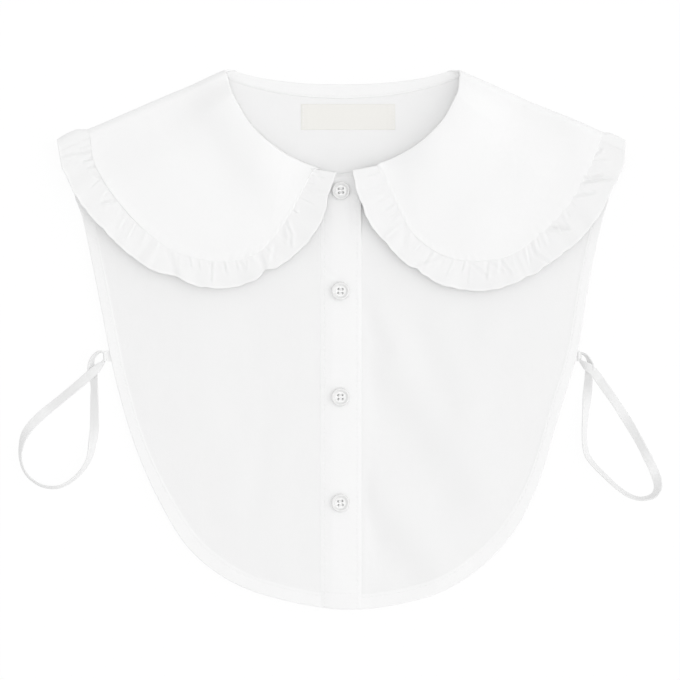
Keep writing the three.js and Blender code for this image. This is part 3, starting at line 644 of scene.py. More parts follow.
def foldCentre(side, distance):
    along, out = shoulderAxes(side)
    x, y = lie["neckPoint"]
    base = np.stack([np.asarray(side, float) * x, 0 * np.asarray(side, float) + y], axis=-1)
    inward = lie["wall"] / 2 + foldRadius(side, distance)
    return base + along * np.asarray(distance)[..., None] - out * inward[..., None]


def neckStart(turn, side=-1):  # where the neck edge lies along the shoulder
    ahead, start = sided(lie["neckAhead"], side), sided(lie["neckTurn"], side)
    onFront = ahead * (1 - smoothstep(turn, 0, math.pi / 2))
    return onFront - lie["neckShift"] * smoothstep(turn, start, math.pi)


def wrapPoints(side, distance, turn, front, back):  # turn 0 on the front, pi on the back
    side, distance, turn = np.broadcast_arrays(side, distance, turn)
    radius = (front - back) / 2
    _, out = shoulderAxes(side)
    flat = foldCentre(side, distance) + out * (radius * np.sin(turn))[..., None]
    return np.dstack([flat, (front + back) / 2 + radius * np.cos(turn)])


plans = {}
for (side, part), lines in outlines.items():
    neckReach = float(neckStart(math.pi if part else 0.0, side))
    reaches = {"neck": neckReach, "seam": float(leafReach(side)), "frill": lie["frillReach"]}
    for line, rows in lines.items():
        end = foldCentre(side, np.array(reaches[line]))
        plans[side, part, line] = smoothCurve([end, *rows] if part else [*rows, end])


def stationsRound(front, fold, back):  # left front, shoulder and back, then the right side inwards
    share = np.r_[np.arange(front) / front, np.zeros(fold + 1), np.arange(1, back + 1) / back]
    part = np.repeat([0, 1, 2], [front, fold + 1, back])
    turn = np.r_[np.zeros(front), np.linspace(0, math.pi, fold + 1), np.full(back, math.pi)]
    order = np.r_[np.arange(len(share)), np.arange(len(share))[-2::-1]]
    side = np.repeat([-1, 1], [len(share), len(share) - 1])
    return {"side": side, "part": part[order], "share": share[order], "turn": turn[order]}


def planPoints(stations, line):
    points = np.zeros((len(stations["side"]), 2))
    for side in (-1, 1):
        for part in (0, 2):
            rows = (stations["side"] == side) & (stations["part"] == part)
            points[rows] = alongCurve(plans[side, part, line], stations["share"][rows])
    return points


def acrossCloth(stations):  # from the neck to the seam
    across = unit(planPoints(stations, "seam") - planPoints(stations, "neck"))
    along, _ = shoulderAxes(stations["side"])
    across = np.where((stations["part"] == 1)[:, None], along, across)
    return np.column_stack([across, np.zeros(len(across))])


def outOfCloth(stations):
    _, out = shoulderAxes(stations["side"])
    return np.column_stack([out * np.sin(stations["turn"])[:, None], np.cos(stations["turn"])])


def leafPoints(stations, shares):  # shares of the leaf's width from its neck edge, a row a station
    neck, seam = planPoints(stations, "neck"), planPoints(stations, "seam")
    flat = neck[:, None] + (seam - neck)[:, None] * shares[..., None]
    onBack = (stations["part"] == 2)[:, None]
    flat = np.dstack([flat, np.where(onBack, lie["backCollar"], leafHeight(shares))])
    side, turn = stations["side"][:, None], stations["turn"][:, None]
    distance = lerp(neckStart(turn, side), leafReach(side), shares)
    folded = wrapPoints(side, distance, turn, leafHeight(shares), lie["backCollar"])
    return np.where((stations["part"] == 1)[:, None, None], folded, flat)


def leafWidths(stations):
    width = np.linalg.norm(planPoints(stations, "seam") - planPoints(stations, "neck"), axis=1)
    onFold = leafReach(stations["side"]) - neckStart(stations["turn"], stations["side"])
    return np.where(stations["part"] == 1, onFold, width)


def rollRadius(stations):
    return lerp(lie["frontRoll"], lie["backRoll"], stations["turn"] / math.pi)


def standPoints(stations, distance):  # under the leaf, this far from where its roll starts
    radius = rollRadius(stations)
    start = leafPoints(stations, ((lie["wall"] / 2 + radius) / leafWidths(stations))[:, None])[:, 0]
    return start - 2 * outOfCloth(stations) * radius[:, None] + acrossCloth(stations) * distance


def bibLine(side):
    rows = [foldCentre(side, np.array(lie["panelReach"])), *bibOutlines[side]]
    return alongCurve(smoothCurve(rows), np.linspace(0, 1, 241))


bibLines = {side: bibLine(side) for side in (-1, 1)}
hemLine = np.vstack([bibLines[-1], bibLines[1][-2::-1]])
for _ in range(160):  # the two sides meet in one smooth curve at the bottom
    middle = hemLine[206:275]
    hemLine[206:275] = middle + 0.25 * (hemLine[205:274] + hemLine[207:276] - 2 * middle)
bibLines = {-1: hemLine[:241], 1: hemLine[240:][::-1]}
backFrillLine = smoothCurve(backOutlines["frill"])[::-1]


def backHeight(x, y):
    below = np.interp(np.abs(x), backFrillLine[:, 0], backFrillLine[:, 1]) - y
    return lerp(lie["backPanel"], lie["backCollar"], smoothstep(below, lie["dropStart"], lie["dropEnd"]))


frontNecks = {side: plans[side, 0, "neck"] for side in (-1, 1)}


def distanceTo(line, flat):  # worked out in parts, so that it needs little memory
    parts = np.array_split(flat, 40)
    return np.concatenate([np.linalg.norm(part[:, None] - line, axis=2).min(axis=1) for part in parts])


def neckRise(x, y):  # inside the neck the back comes up a little towards the front's neck edge
    flat = np.stack([np.ravel(x), np.ravel(y)], axis=-1)
    total = np.zeros(len(flat))
    for side, line in frontNecks.items():
        away = distanceTo(line, flat)
        order = np.argsort(line[:, 0])
        inside = flat[:, 1] > np.interp(flat[:, 0], line[order, 0], line[order, 1])
        profile = np.where(inside, 1 - smoothstep(away, 0, 32), 1 - smoothstep(away, 5, 30))
        beside = smoothstep(flat[:, 0] * side, 22, 58) * (1 - smoothstep(flat[:, 1], 146, 162))
        total += lie["neckLift"][side] * profile * beside
    return total.reshape(np.shape(x))


def edgeDistance(x, y):
    return distanceTo(hemLine, np.stack([np.ravel(x), np.ravel(y)], axis=-1)).reshape(np.shape(x))


def frontHeight(x, y):
    inside = smoothstep(edgeDistance(x, y), 0, lie["frontReach"])
    sunk = lie["neckSink"] * smoothstep(y, 55, 100) * hump(x, 32)
    return backHeight(x, y) + lerp(lie["frontAtEdge"], lie["frontInside"], inside) - sunk


def hemY(x):
    low = hemLine[hemLine[:, 1] < -100]
    return np.interp(x, low[:, 0], low[:, 1])


# Folds: a dark or bright line has one steep flank, a valley has two, and a ridge stands up
lightFrom = np.array([0.96, -0.29])


def foldHeights(x, y, folds):
    total = np.zeros(np.shape(x))
    for kind, height, width, line in folds:
        nearest = np.full(np.shape(x), 1e9)
        signed = np.zeros(np.shape(x))
        for (ax, ay), (bx, by) in zip(line, line[1:]):
            dx, dy = bx - ax, by - ay
            span = math.hypot(dx, dy)
            share = np.clip(((x - ax) * dx + (y - ay) * dy) / span**2, 0, 1)
            away = np.hypot(x - ax - share * dx, y - ay - share * dy)
            towards = 1 if -dy * lightFrom[0] + dx * lightFrom[1] > 0 else -1
            across = (-(x - ax) * dy + (y - ay) * dx) / span * towards
            closer = away < nearest
            nearest = np.where(closer, away, nearest)
            signed = np.where(closer, across, signed)
        if kind in ("dark", "bright"):
            flank = signed / width * np.exp(0.5 * (1 - (nearest / width) ** 2))
            total += height * (flank if kind == "dark" else -flank)
        elif kind == "valley":
            total += height * (0.8 * hump(nearest, 2.2 * width) - 1.5 * hump(nearest, width))
        else:
            total += height * hump(nearest, width)
    return total


def softWaves(x, y, count, low, high, height):  # faint broad waves in all directions
    total = np.zeros(np.shape(x))
    for _ in range(count):
        angle, phase = rng.uniform(0, math.pi), rng.uniform(0, 2 * math.pi)
        turn = 2 * math.pi / rng.uniform(low, high)
        total += np.sin((x * math.cos(angle) + y * math.sin(angle)) * turn + phase)
    return height * total / math.sqrt(count)


# The round collar: a doubled leaf with a rolled neck edge, one piece from front to front
leaf = {
    "wall": 0.72,
    "seamAllowance": 4.6,  # inside the leaf, along the frill's seam
    "allowanceRise": 0.18,
    "edgeDip": 0.12,
    "stations": (170, 16, 60),
    "columns": 54,
    "crowding": 1.5,  # lines of points are closer together near the seam
    "rollSteps": 12,
    "rollRadius": 0.45,
    "wave": 0.16,
    "pucker": 0.09,
    "droop": 0.4,  # towards its seam the leaf comes down onto the front
    "neckRise": {-1: 5.0, 1: 5.4},  # and it stands up round the neck, less towards the centre front
    "neckReach": 52,
    "neckShare": 0.85,  # but at most over this share of the leaf's width
    "neckGrows": (0.02, 0.5),  # shares of the front's length over which it comes up
    "flatSize": (0.39, 0.24),
    "flatArea": 0.0504,
}
leafFolds = [
    ("dark", 1.1, 13.0, [(-82, 168), (-80, 148), (-62, 116)]),
    ("ridge", 0.4, 16.0, [(-120, 110), (-92, 76)]),
    ("ridge", 0.5, 16.0, [(92, 118), (86, 78)]),
    ("dark", 0.9, 14.0, [(151, 128), (132, 158)]),
]
leafEdgeLifts = [  # where the seam stands off the front: place, reach and height
    (-146, 98, 34, 0.5),
    (60, 62, 24, 0.4),
    (-60, 55, 14, 0.25),
    (112, 60, 18, 0.2),
]


def onShoulder(side, points):  # places along the shoulder, and out over its edge
    along, out = shoulderAxes(side)
    x, y = lie["neckPoint"]
    local = points[..., :2] - np.stack([side * x, 0 * side + y], axis=-1)
    return np.sum(local * along, axis=-1), np.sum(local * out, axis=-1)


def unfolded(stations, points):  # where the cloth lay before it was folded over the shoulder
    side = stations["side"][:, None]
    t, w = onShoulder(side, points)
    radius = foldRadius(side, t)
    centre = -(lie["wall"] / 2 + radius)
    turn = stations["turn"][:, None]
    front, fold = stations["part"][:, None] == 0, stations["part"][:, None] == 1
    onFront = 2 * centre - w + math.pi * radius
    onFold = centre + radius * (math.pi - turn)
    return np.stack([t, np.where(front, onFront, np.where(fold, onFold, w))], axis=-1)


def droopFade(stations):  # the drooping ends before the shoulder's fold
    fade = 1 - smoothstep(stations["share"], 0.84, 1)
    return np.where(stations["part"] == 0, fade, 0)[:, None]


def shoulderFall(stations, points):  # the front bends down before it turns over the shoulder
    side, turn, part = (stations[key][:, None] for key in ("side", "turn", "part"))
    t, w = onShoulder(side, points)
    inside = -w - lie["wall"] / 2 - (lie["leafSeam"] - lie["backCollar"]) / 2
    bent = np.where(part == 1, np.cos(turn / 2) ** 2, 1 - smoothstep(inside, 0, lie["fallReach"]))
    return lie["fall"] * np.where(part == 2, 0, bent) * smoothstep(t, *lie["fallStart"])


def leafRise(stations, points, shares, width, onFront):
    fromSeam = (1 - shares) * width
    x, y = points[..., 0], points[..., 1]
    clear = smoothstep(shares, 0, 0.3) * (1 - 0.6 * smoothstep(shares, 0.8, 1))
    rise = (softWaves(x, y, 9, 38, 90, leaf["wave"]) + foldHeights(x, y, leafFolds)) * clear * onFront
    seamRun = lengthsAlong(points[:, -1])[:, None]
    stood = 1 - smoothstep(shares * width, 0, np.minimum(leaf["neckReach"], leaf["neckShare"] * width))
    neckRises = sided(leaf["neckRise"], stations["side"])[:, None]
    neckRises = neckRises * smoothstep(stations["share"], *leaf["neckGrows"])[:, None]
    rise = rise + (neckRises * stood - leaf["droop"] * smoothstep(shares, 0.05, 1)) * droopFade(stations)
    ripple = sum(np.sin(seamRun * 2 * math.pi / rng.uniform(4, 11) + rng.uniform(0, 6)) for _ in range(6))
    rise = rise + leaf["pucker"] * ripple / 2 * hump(fromSeam, 4.5) * onFront
    for seamX, seamY, reach, height in leafEdgeLifts:
        along = np.hypot(points[:, -1:, 0] - seamX, points[:, -1:, 1] - seamY)
        rise = rise + height * hump(along, reach) * hump(fromSeam, 2.2) * onFront
    return rise


def collarGrid():
    stations = stationsRound(*leaf["stations"])
    width, radius = leafWidths(stations)[:, None], np.full((len(stations["side"]), 1), leaf["rollRadius"])
    first = (lie["wall"] / 2 + radius) / width
    t = 1 - (1 - np.linspace(0, 1, leaf["columns"])) ** leaf["crowding"]
    shares = lerp(first, 1, t[None])
    points = leafPoints(stations, shares)
    out, across = outOfCloth(stations)[:, None], acrossCloth(stations)[:, None]
    onFront = np.cos(stations["turn"] / 2)[:, None] ** 2
    rise = leafRise(stations, points, shares, width, onFront)
    points = points + out * rise[..., None]
    points[..., 2] -= shoulderFall(stations, points)
    start = points[:, :1]
    drop = rise[:, :1] + 2 * (rollRadius(stations)[:, None] - radius)  # down to the fronts' neck edge
    angle = np.linspace(math.pi, 0, leaf["rollSteps"], endpoint=False)[None, :, None]
    roll = start + out * radius[..., None] * (np.cos(angle) - 1) - across * radius[..., None] * np.sin(angle)
    far = np.array([lie["stand"] + 0.8, 3.2, 2.1, 1.0])[None]
    stand = start - out * (2 * radius + drop * smoothstep(far, 0, 4))[..., None] + across * far[..., None]
    grid = np.concatenate([stand, roll, points], axis=1)
    fromSeam = (1 - shares) * width
    allowance = smoothstep(-fromSeam, -leaf["seamAllowance"] - 0.7, -leaf["seamAllowance"] + 0.5)
    wall = leaf["wall"] + leaf["allowanceRise"] * allowance
    wall = wall - leaf["edgeDip"] * hump(fromSeam, 1.3)
    inner = np.full((len(width), stand.shape[1] + roll.shape[1]), leaf["wall"])
    flat = unfolded(stations, grid)
    weave = np.dstack([flat, np.ones(flat.shape[:2])])
    return grid, np.concatenate([inner, wall], axis=1), weave


collarPoints, collarWall, collarWeave = collarGrid()
collar, _, _ = addCloth("roundCollar", collarPoints, collarWall, collarWeave)
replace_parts(collar, "collar")
print("collar made")


# The frill: gathered into the collar's seam, with a narrow rolled hem
frill = {
    "wall": 0.42,
    "hem": 1.25,
    "hemWall": 0.54,
    "tuck": 0.9,  # its inner edge is caught between the collar's two layers
    "stations": (430, 40, 110),
    "columns": 24,
    "gatherSpacing": (4.5, 11.0),
    "gatherHeight": (0.08, 0.26),
    "gatherWidth": (0.5, 1.2),
    "gatherReach": (0.15, 0.6),
    "wave": 0.4,
    "droop": -0.5,
    "placketLift": 0.3,
    "flatSize": (0.020, 1.15),
    "fullness": 1.3,  # how far the weave runs for each length of seam
    "doubled": 0.3,  # painted light: the gathered single layer gets this share of the doubled cloth's lighter colour, as its folds let less light through
}
frillFolds = [  # kind, height, width and line, as in the photo
    ("dark", 0.90, 0.9, [(-164.5, 131.5), (-169.6, 131.3)]),
    ("dark", 0.85, 0.9, [(-163.3, 126.4), (-169.5, 126.0)]),
    ("dark", 1.00, 1.3, [(-166.0, 121.8), (-174.0, 121.8), (-181.0, 119.8)]),
    ("dark", 0.75, 0.8, [(-160.0, 117.6), (-166.5, 117.0)]),
    ("dark", 0.65, 0.8, [(-157.4, 112.0), (-163.5, 112.4)]),
    ("dark", 0.65, 0.8, [(-153.3, 105.0), (-159.5, 107.0)]),
    ("dark", 0.70, 1.0, [(-144.9, 90.8), (-154.3, 90.0)]),
    ("valley", 0.30, 2.6, [(-123.5, 66.8), (-132.0, 53.8)]),
    ("ridge", 0.32, 2.2, [(-119.0, 63.5), (-126.5, 50.5)]),
    ("dark", 0.26, 2.0, [(-110.8, 57.3), (-106.6, 42.7)]),
    ("dark", 0.33, 0.9, [(-83.9, 51.2), (-84.5, 39.5)]),
    ("dark", 0.19, 0.7, [(-98.8, 55.1), (-97.5, 48.6)]),
    ("dark", 0.19, 0.7, [(-93.0, 52.5), (-92.3, 47.3)]),
    ("dark", 0.19, 0.7, [(-76.0, 51.2), (-75.4, 46.0)]),
    ("dark", 0.22, 0.8, [(-68.9, 53.8), (-67.6, 47.3)]),
    ("dark", 0.19, 0.7, [(-61.8, 51.2), (-61.8, 47.3)]),
    ("valley", 0.34, 3.2, [(-55.0, 57.5), (-50.5, 49.0)]),
    ("dark", 0.30, 1.6, [(-51.5, 54.0), (-48.8, 46.3)]),
    ("bright", 0.3, 1.2, [(-44.9, 60.9), (-46.1, 53.8)]),
    ("dark", 0.39, 2.2, [(-38.4, 77.2), (-36.4, 66.8)]),
    ("dark", 0.39, 0.9, [(-35.8, 77.2), (-32.5, 68.7), (-33.1, 62.2)]),
    ("dark", 0.28, 1.0, [(-30.6, 91.5), (-30.6, 83.7)]),
    ("valley", 0.36, 1.6, [(-25.4, 98.0), (-10.4, 95.4)]),
    ("bright", 0.15, 1.3, [(-18.9, 109.7), (-15.0, 104.5)]),
    ("dark", 0.28, 1.8, [(23.4, 95.4), (15.6, 96.7)]),
    ("dark", 0.22, 0.8, [(33.1, 88.2), (28.6, 85.0)]),
    ("dark", 0.22, 0.8, [(37.7, 83.7), (33.8, 79.1)]),
    ("bright", 0.28, 1.0, [(41.0, 77.2), (29.2, 67.4)]),
    ("dark", 0.26, 2.2, [(43.2, 74.9), (41.6, 64.2)]),
    ("dark", 0.22, 0.8, [(48.1, 68.1), (50.7, 63.5)]),
    ("dark", 0.24, 1.4, [(67.6, 55.7), (49.4, 48.6)]),
    ("dark", 0.14, 0.8, [(83.2, 51.2), (81.9, 36.9)]),
    ("dark", 0.26, 0.9, [(84.5, 50.5), (94.2, 42.1)]),
    ("dark", 0.26, 0.9, [(94.2, 52.5), (104.3, 46.3)]),
    ("dark", 0.26, 0.9, [(102.0, 54.4), (109.9, 44.0)]),
    ("dark", 0.36, 1.2, [(122.9, 65.5), (126.1, 56.4), (134.5, 51.5)]),
    ("dark", 0.18, 1.6, [(113.5, 54.7), (119.0, 41.8)]),
    ("dark", 0.65, 0.9, [(132.6, 75.2), (146.9, 72.6)]),
    ("dark", 0.40, 0.8, [(130.7, 72.6), (141.7, 71.3)]),
    ("bright", 0.3, 0.9, [(142.3, 88.2), (145.6, 81.1)]),
    ("dark", 0.55, 1.0, [(151.5, 94.3), (163.0, 95.5)]),
    ("dark", 0.70, 0.9, [(157.5, 103.0), (163.5, 103.6), (168.0, 104.6), (173.5, 104.2)]),
    ("dark", 0.45, 0.8, [(157.5, 107.0), (162.5, 105.9), (168.5, 107.6)]),
    ("dark", 0.40, 0.8, [(162.3, 117.6), (170.5, 117.0)]),
    ("dark", 0.55, 0.9, [(162.8, 120.4), (168.3, 123.4)]),
    ("dark", 0.50, 1.0, [(171.0, 129.5), (168.4, 124.0)]),
    ("dark", 0.80, 0.8, [(167.4, 132.4), (172.0, 132.2)]),
]
hemNotches = [  # where a fold draws the hem in: place, depth and width
    (-106.6, 42.7, 1.6, 3.5),
    (-48.8, 44.0, 2.2, 3.5),
    (48.8, 46.0, 1.4, 3.0),
    (119.0, 40.8, 1.8, 3.5),
    (-132.0, 51.5, 0.8, 4.0),
    (30.0, 62.5, 0.9, 4.0),
]


def smallGathers(inner, outer, rows):  # short folds that start in the seam, between rows
    folds = []
    run = lengthsAlong(inner)
    at = run[rows[0]] + 4
    while at < run[rows[1]] - 2:
        i = int(np.searchsorted(run, at))
        towards = outer[i] - inner[i]
        slant = rng.uniform(-5, 5) / max(np.linalg.norm(towards), 1)
        sideways = np.array([-towards[1], towards[0]]) * slant * 0.1
        end = inner[i] + towards * rng.uniform(*frill["gatherReach"]) + sideways
        kind = ("dark", "dark", "bright", "ridge")[int(rng.integers(4))]
        height, width = rng.uniform(*frill["gatherHeight"]), rng.uniform(*frill["gatherWidth"])
        folds.append((kind, height, width, [tuple(inner[i]), tuple(end)]))
        at += rng.uniform(*frill["gatherSpacing"])
    return folds


def frillGrid():
    stations = stationsRound(*frill["stations"])
    side, turn, part = stations["side"][:, None], stations["turn"][:, None], stations["part"][:, None]
    column = np.linspace(0, 1, frill["columns"] - 4)
    column = np.unique(np.r_[column, 0.9, 0.915, 0.93, 0.975])[None]
    inner, outer = planPoints(stations, "seam"), planPoints(stations, "frill")
    length = np.linalg.norm(outer - inner, axis=1)[:, None]
    share = lerp(-frill["tuck"] / np.maximum(length, 1), 1, column)
    flat = inner[:, None] + (outer - inner)[:, None] * share[..., None]
    x, y = flat[..., 0], flat[..., 1]
    run = lengthsAlong(inner)[:, None]
    notch = sum(
        depth * np.exp(-((np.hypot(outer[:, 0] - nx, outer[:, 1] - ny) / width) ** 2))
        for nx, ny, depth, width in hemNotches
    )[:, None]
    wobble = sum(np.sin(run * 2 * math.pi / p + rng.uniform(0, 6)) for p in (7.3, 11.1, 16.7, 25.0)) * 0.14
    fade = np.where(part == 0, smoothstep(1 - stations["share"][:, None], 0, 0.05), 0)
    pull = (notch + wobble * fade) * column**3
    flat = flat - (unit(outer - inner)[:, None]) * pull[..., None]
    height = np.where(part == 0, frillHeight(column), lie["backCollar"])
    front, last = frill["stations"][0], len(run) - 1
    folds = frillFolds + smallGathers(inner, outer, (0, front - 1))
    folds = folds + smallGathers(inner, outer, (last + 1 - front, last))
    rise = foldHeights(x, y, folds)
    wave = sum(np.sin(run * 2 * math.pi / p + rng.uniform(0, 6)) for p in (13.0, 19.0, 31.0, 47.0)) / 2
    rise = rise + frill["wave"] * wave * column**1.5
    sewn = smoothstep(share, -0.02, 0.12)
    rise = rise * lerp(0.2, 1, sewn) * fade
    overPlacket = 1 - smoothstep(np.abs(x), 15, 30)
    droop = leaf["droop"] + column * (frill["droop"] - frill["placketLift"] * overPlacket)
    rise = rise - droop * droopFade(stations)
    backWave = np.sin(run * 2 * math.pi / 6.5) + np.sin(run * 2 * math.pi / 9.7)
    onBack = np.where(part == 2, np.sin(math.pi * stations["share"][:, None]), 0)
    rise = rise + 0.12 * (backWave + 2) * onBack * column
    crest = np.sin(turn)
    distance = lerp(leafReach(side) - frill["tuck"], lie["frillReach"] - lie["frillDraw"] * crest, column)
    folded = wrapPoints(side, distance, turn, frillHeight(column), lie["backCollar"])
    puff = sided(lie["frillPuff"], side) * crest
    puff = puff * np.minimum(np.minimum(1, 3 * column), 1.7 - column)
    ripples = 0.16 * crest * np.sin(distance * 2.1) * (1 - column)
    _, out = shoulderAxes(side)
    folded[..., :2] += out * (puff + ripples)[..., None]
    points = np.where((part == 1)[..., None], folded, np.dstack([flat, height + rise]))
    points[..., 2] -= shoulderFall(stations, points)
    fromHem = (1 - column) * np.where(part == 1, lie["frillReach"] - leafReach(side), length)
    turnedIn = 1 - smoothstep(fromHem, frill["hem"] - 0.25, frill["hem"] + 0.2)
    wall = lerp(frill["wall"], frill["hemWall"], turnedIn)
    # painted light on the rolled hem: it gets the doubled cloth's lighter colour, the rest of the frill a
    # share of it
    hemmed = lerp(frill["doubled"], 1, 1 - smoothstep(fromHem, 1.0, 1.5))
    weave = np.dstack([np.broadcast_to(run * frill["fullness"], x.shape), fromHem, hemmed])
    return points, wall, weave


frillPoints, frillWall, frillWeave = frillGrid()
collarFrill, _, _ = addCloth("gatheredFrill", frillPoints, frillWall, frillWeave)
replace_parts(collarFrill, "frill")
print("frill made")


# The bib: two fronts and a back, hemmed round the outside
bib = {
    "wall": 0.45,
    "hemWall": 0.74,
    "hemSide": 6.5,  # the hem is wider round the bottom
    "hemBottom": 9.0,
    "stitchAt": 0.80,  # share of the hem's width
    "stitchDip": 0.12,
    "hemPucker": 0.04,
    "rows": 210,
    "insideColumns": 46,
    "shoulderRows": 10,
    "wave": 0.14,
    "split": {-1: -12.5, 1: -12.0},
    "fanEnd": -120,
    "top": 107,
    "backInset": 2.0,
    "underLabel": ((4, 145.8), (30.5, 8.3)),  # the back stays flat here: middle and half size
}
drapeFolds = [
    ("dark", 0.55, 7.0, [(13, 27), (30, -4)]),
    ("dark", 1.2, 14.0, [(25, -20), (74, -88)]),
    ("dark", 1.3, 12.0, [(20, -112), (62, -162)]),
    ("dark", 0.6, 10.0, [(58, 6), (74, -40)]),
    ("ridge", 0.5, 12.0, [(-96, 20), (-84, -60)]),
    ("valley", 0.3, 9.0, [(-60, 10), (-48, -50), (-60, -110)]),
    ("ridge", 0.45, 11.0, [(100, 14), (84, -60)]),
]
hemShares = np.array([
    0, 0.03, 0.08, 0.16, 0.28, 0.42, 0.56, 0.68, 0.75, 0.78, 0.80, 0.82, 0.85, 0.91, 0.96, 1, 1.04, 1.1, 1.25,
])


def hemColumns(line, width, inward):  # lines of points parallel to the hem, from inside to the edge
    return line[:, None] + inward[:, None] * (width[:, None] * hemShares[::-1])[..., None]


def inwardOf(line):
    ahead = unit(np.gradient(line, axis=0))
    inward = np.stack([-ahead[:, 1], ahead[:, 0]], axis=-1)
    towards = np.array([0, 20]) - line
    return inward * np.sign(np.sum(inward * towards, axis=1, keepdims=True))


def hemWidthAt(line):
    return lerp(bib["hemSide"], bib["hemBottom"], smoothstep(-line[:, 1], 60, 150))


def fanGrid(inner, outer, rows, insideColumns, sides):  # sides are the shoulders that it starts or ends at
    share = np.linspace(0, 1, rows)
    start, edge = alongCurve(inner, share), alongCurve(outer, share)
    inward = inwardOf(edge)
    for side, fromEnd in zip(sides, (share, 1 - share)):
        turned = smoothstep(fromEnd, 0, 0.09)[:, None]
        inward = unit(lerp(-shoulderAxes(side)[0], inward, turned))
    width = hemWidthAt(edge)
    hem = hemColumns(edge, width, inward)
    t = np.linspace(0, 1, insideColumns, endpoint=False)[None, :, None]
    inside = start[:, None] + (hem[:, :1] - start[:, None]) * t
    return np.concatenate([inside, hem], axis=1), width


def hemProfile(shape, width, run):  # wall and lift of a front with its hem
    rows, columns = shape
    inside = columns - len(hemShares)
    fromEdge = np.concatenate([np.full(inside, 2.0), hemShares[::-1]])[None] * np.ones((rows, 1))
    # the hem is doubled: thicker, and painted in the doubled cloth's lighter colour, painted light against
    # the single panel's painted shade
    hemmed = 1 - smoothstep(fromEdge, 0.96, 1.07)
    wall = lerp(bib["wall"], bib["hemWall"], hemmed)
    away = (fromEdge - bib["stitchAt"]) * width[:, None]
    wall = wall - bib["stitchDip"] * hump(away, 0.35)
    pucker = sum(np.sin(run[:, None] * 2 * math.pi / p + q) for p, q in ((3.4, 0), (5.3, 2), (8.1, 4)))
    lift = bib["hemPucker"] * pucker / 1.5 * hump(away, 1.6) * (fromEdge < 1.6)
    return wall, lift, hemmed


def neckLine(side, part, count):  # the panels' neck edge, from the shoulder to the centre
    share = np.linspace(0, 1, count)
    turn = 0.0 if part == 0 else math.pi
    stations = {
        "side": np.full(count, side),
        "part": np.r_[1, np.full(count - 1, part)],
        "share": 1 - share if part == 0 else share,
        "turn": np.full(count, turn),
    }
    return standPoints(stations, lie["stand"] + lie["seamGap"])[:, :2]


def shoulderRows(side, turns, columns, width, front, roll):
    start = lie["wall"] / 2 + roll + lie["stand"] + lie["seamGap"]
    begin = start + np.where(turns > math.pi / 2, neckStart(turns), 0)
    hem = lie["panelReach"] - width * hemShares[::-1]
    t = np.linspace(0, 1, columns, endpoint=False)
    inside = begin[:, None] + (hem[0] - begin[:, None]) * t
    distance = np.concatenate([inside, np.broadcast_to(hem, (len(turns), len(hem)))], axis=1)
    return wrapPoints(side, distance, turns[:, None], front, lie["backPanel"])


def frontPanel(side, name, node):
    split = bib["split"][side]
    neck = neckLine(side, 0, 60)
    neck = neck[(neck[:, 1] > bib["top"]) & (np.abs(neck[:, 0] - split) > 1)]
    outer = bibLines[side]
    if side < 0:
        outer = outer[outer[:, 0] < split - 0.5]
    else:
        over = bibLines[-1][::-1]
        outer = np.vstack([outer, over[(over[:, 0] > split + 0.5) & (over[:, 0] < -0.5)]])
    outer = np.vstack([outer, [[split, hemY(split)]]])
    inner = np.vstack([neck, [[split, bib["top"]], [split, bib["fanEnd"]]]])
    flat, width = fanGrid(inner, outer, bib["rows"], bib["insideColumns"], (side,))
    if side < 0:
        flat[..., 0] = np.minimum(flat[..., 0], split)
    else:
        flat[..., 0] = np.maximum(flat[..., 0], split)
    x, y = flat[..., 0], flat[..., 1]
    beside = smoothstep(np.abs(x), 12, 24)
    below = 1 - smoothstep(y, 60, 110)
    rise = (foldHeights(x, y, drapeFolds) + softWaves(x, y, 10, 26, 75, bib["wave"])) * beside * below
    rise = rise * smoothstep(edgeDistance(x, y), 0, 14)
    if side > 0:
        rise = rise + 0.3 * smoothstep(x, -9, -5) * (1 - smoothstep(x, 15.9, 16.5))
    z = frontHeight(x, y) + rise
    grid = np.dstack([flat, z])
    turns = np.linspace(math.radians(91), 0, bib["shoulderRows"], endpoint=False)
    over = shoulderRows(side, turns, bib["insideColumns"], width[0], z[0], lie["frontRoll"])
    grid = np.concatenate([over, grid])
    width = np.r_[np.full(len(turns), width[0]), width]
    run = lengthsAlong(grid[:, -1])
    wall, lift, hemmed = hemProfile(grid.shape[:2], width, run)
    grid[..., 2] += lift
    # the hem share sets the painted light of the doubled hem and the painted shade of the single front
    weave = np.dstack([grid[..., 0], grid[..., 1], hemmed])
    panel, upper, normal = addCloth(name, grid, wall, weave)
    stitchColumn = grid.shape[1] - 1 - int(np.argmin(np.abs(hemShares - bib["stitchAt"])))
    if np.allclose(upper[0, :, :2], grid[0, :, :2], atol=1):
        rows = slice(None)
    else:
        rows = slice(None, None, -1)
    line, ups = upper[rows][:, stitchColumn], normal[rows][:, stitchColumn]
    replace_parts(panel, node)
    return panel, line, ups


frontLeft, leftHemLine, leftHemUps = frontPanel(-1, "bibFrontLeft", "front_panel_left")
frontRight, rightHemLine, rightHemUps = frontPanel(1, "bibFrontRight", "front_panel_right")
print("fronts made")


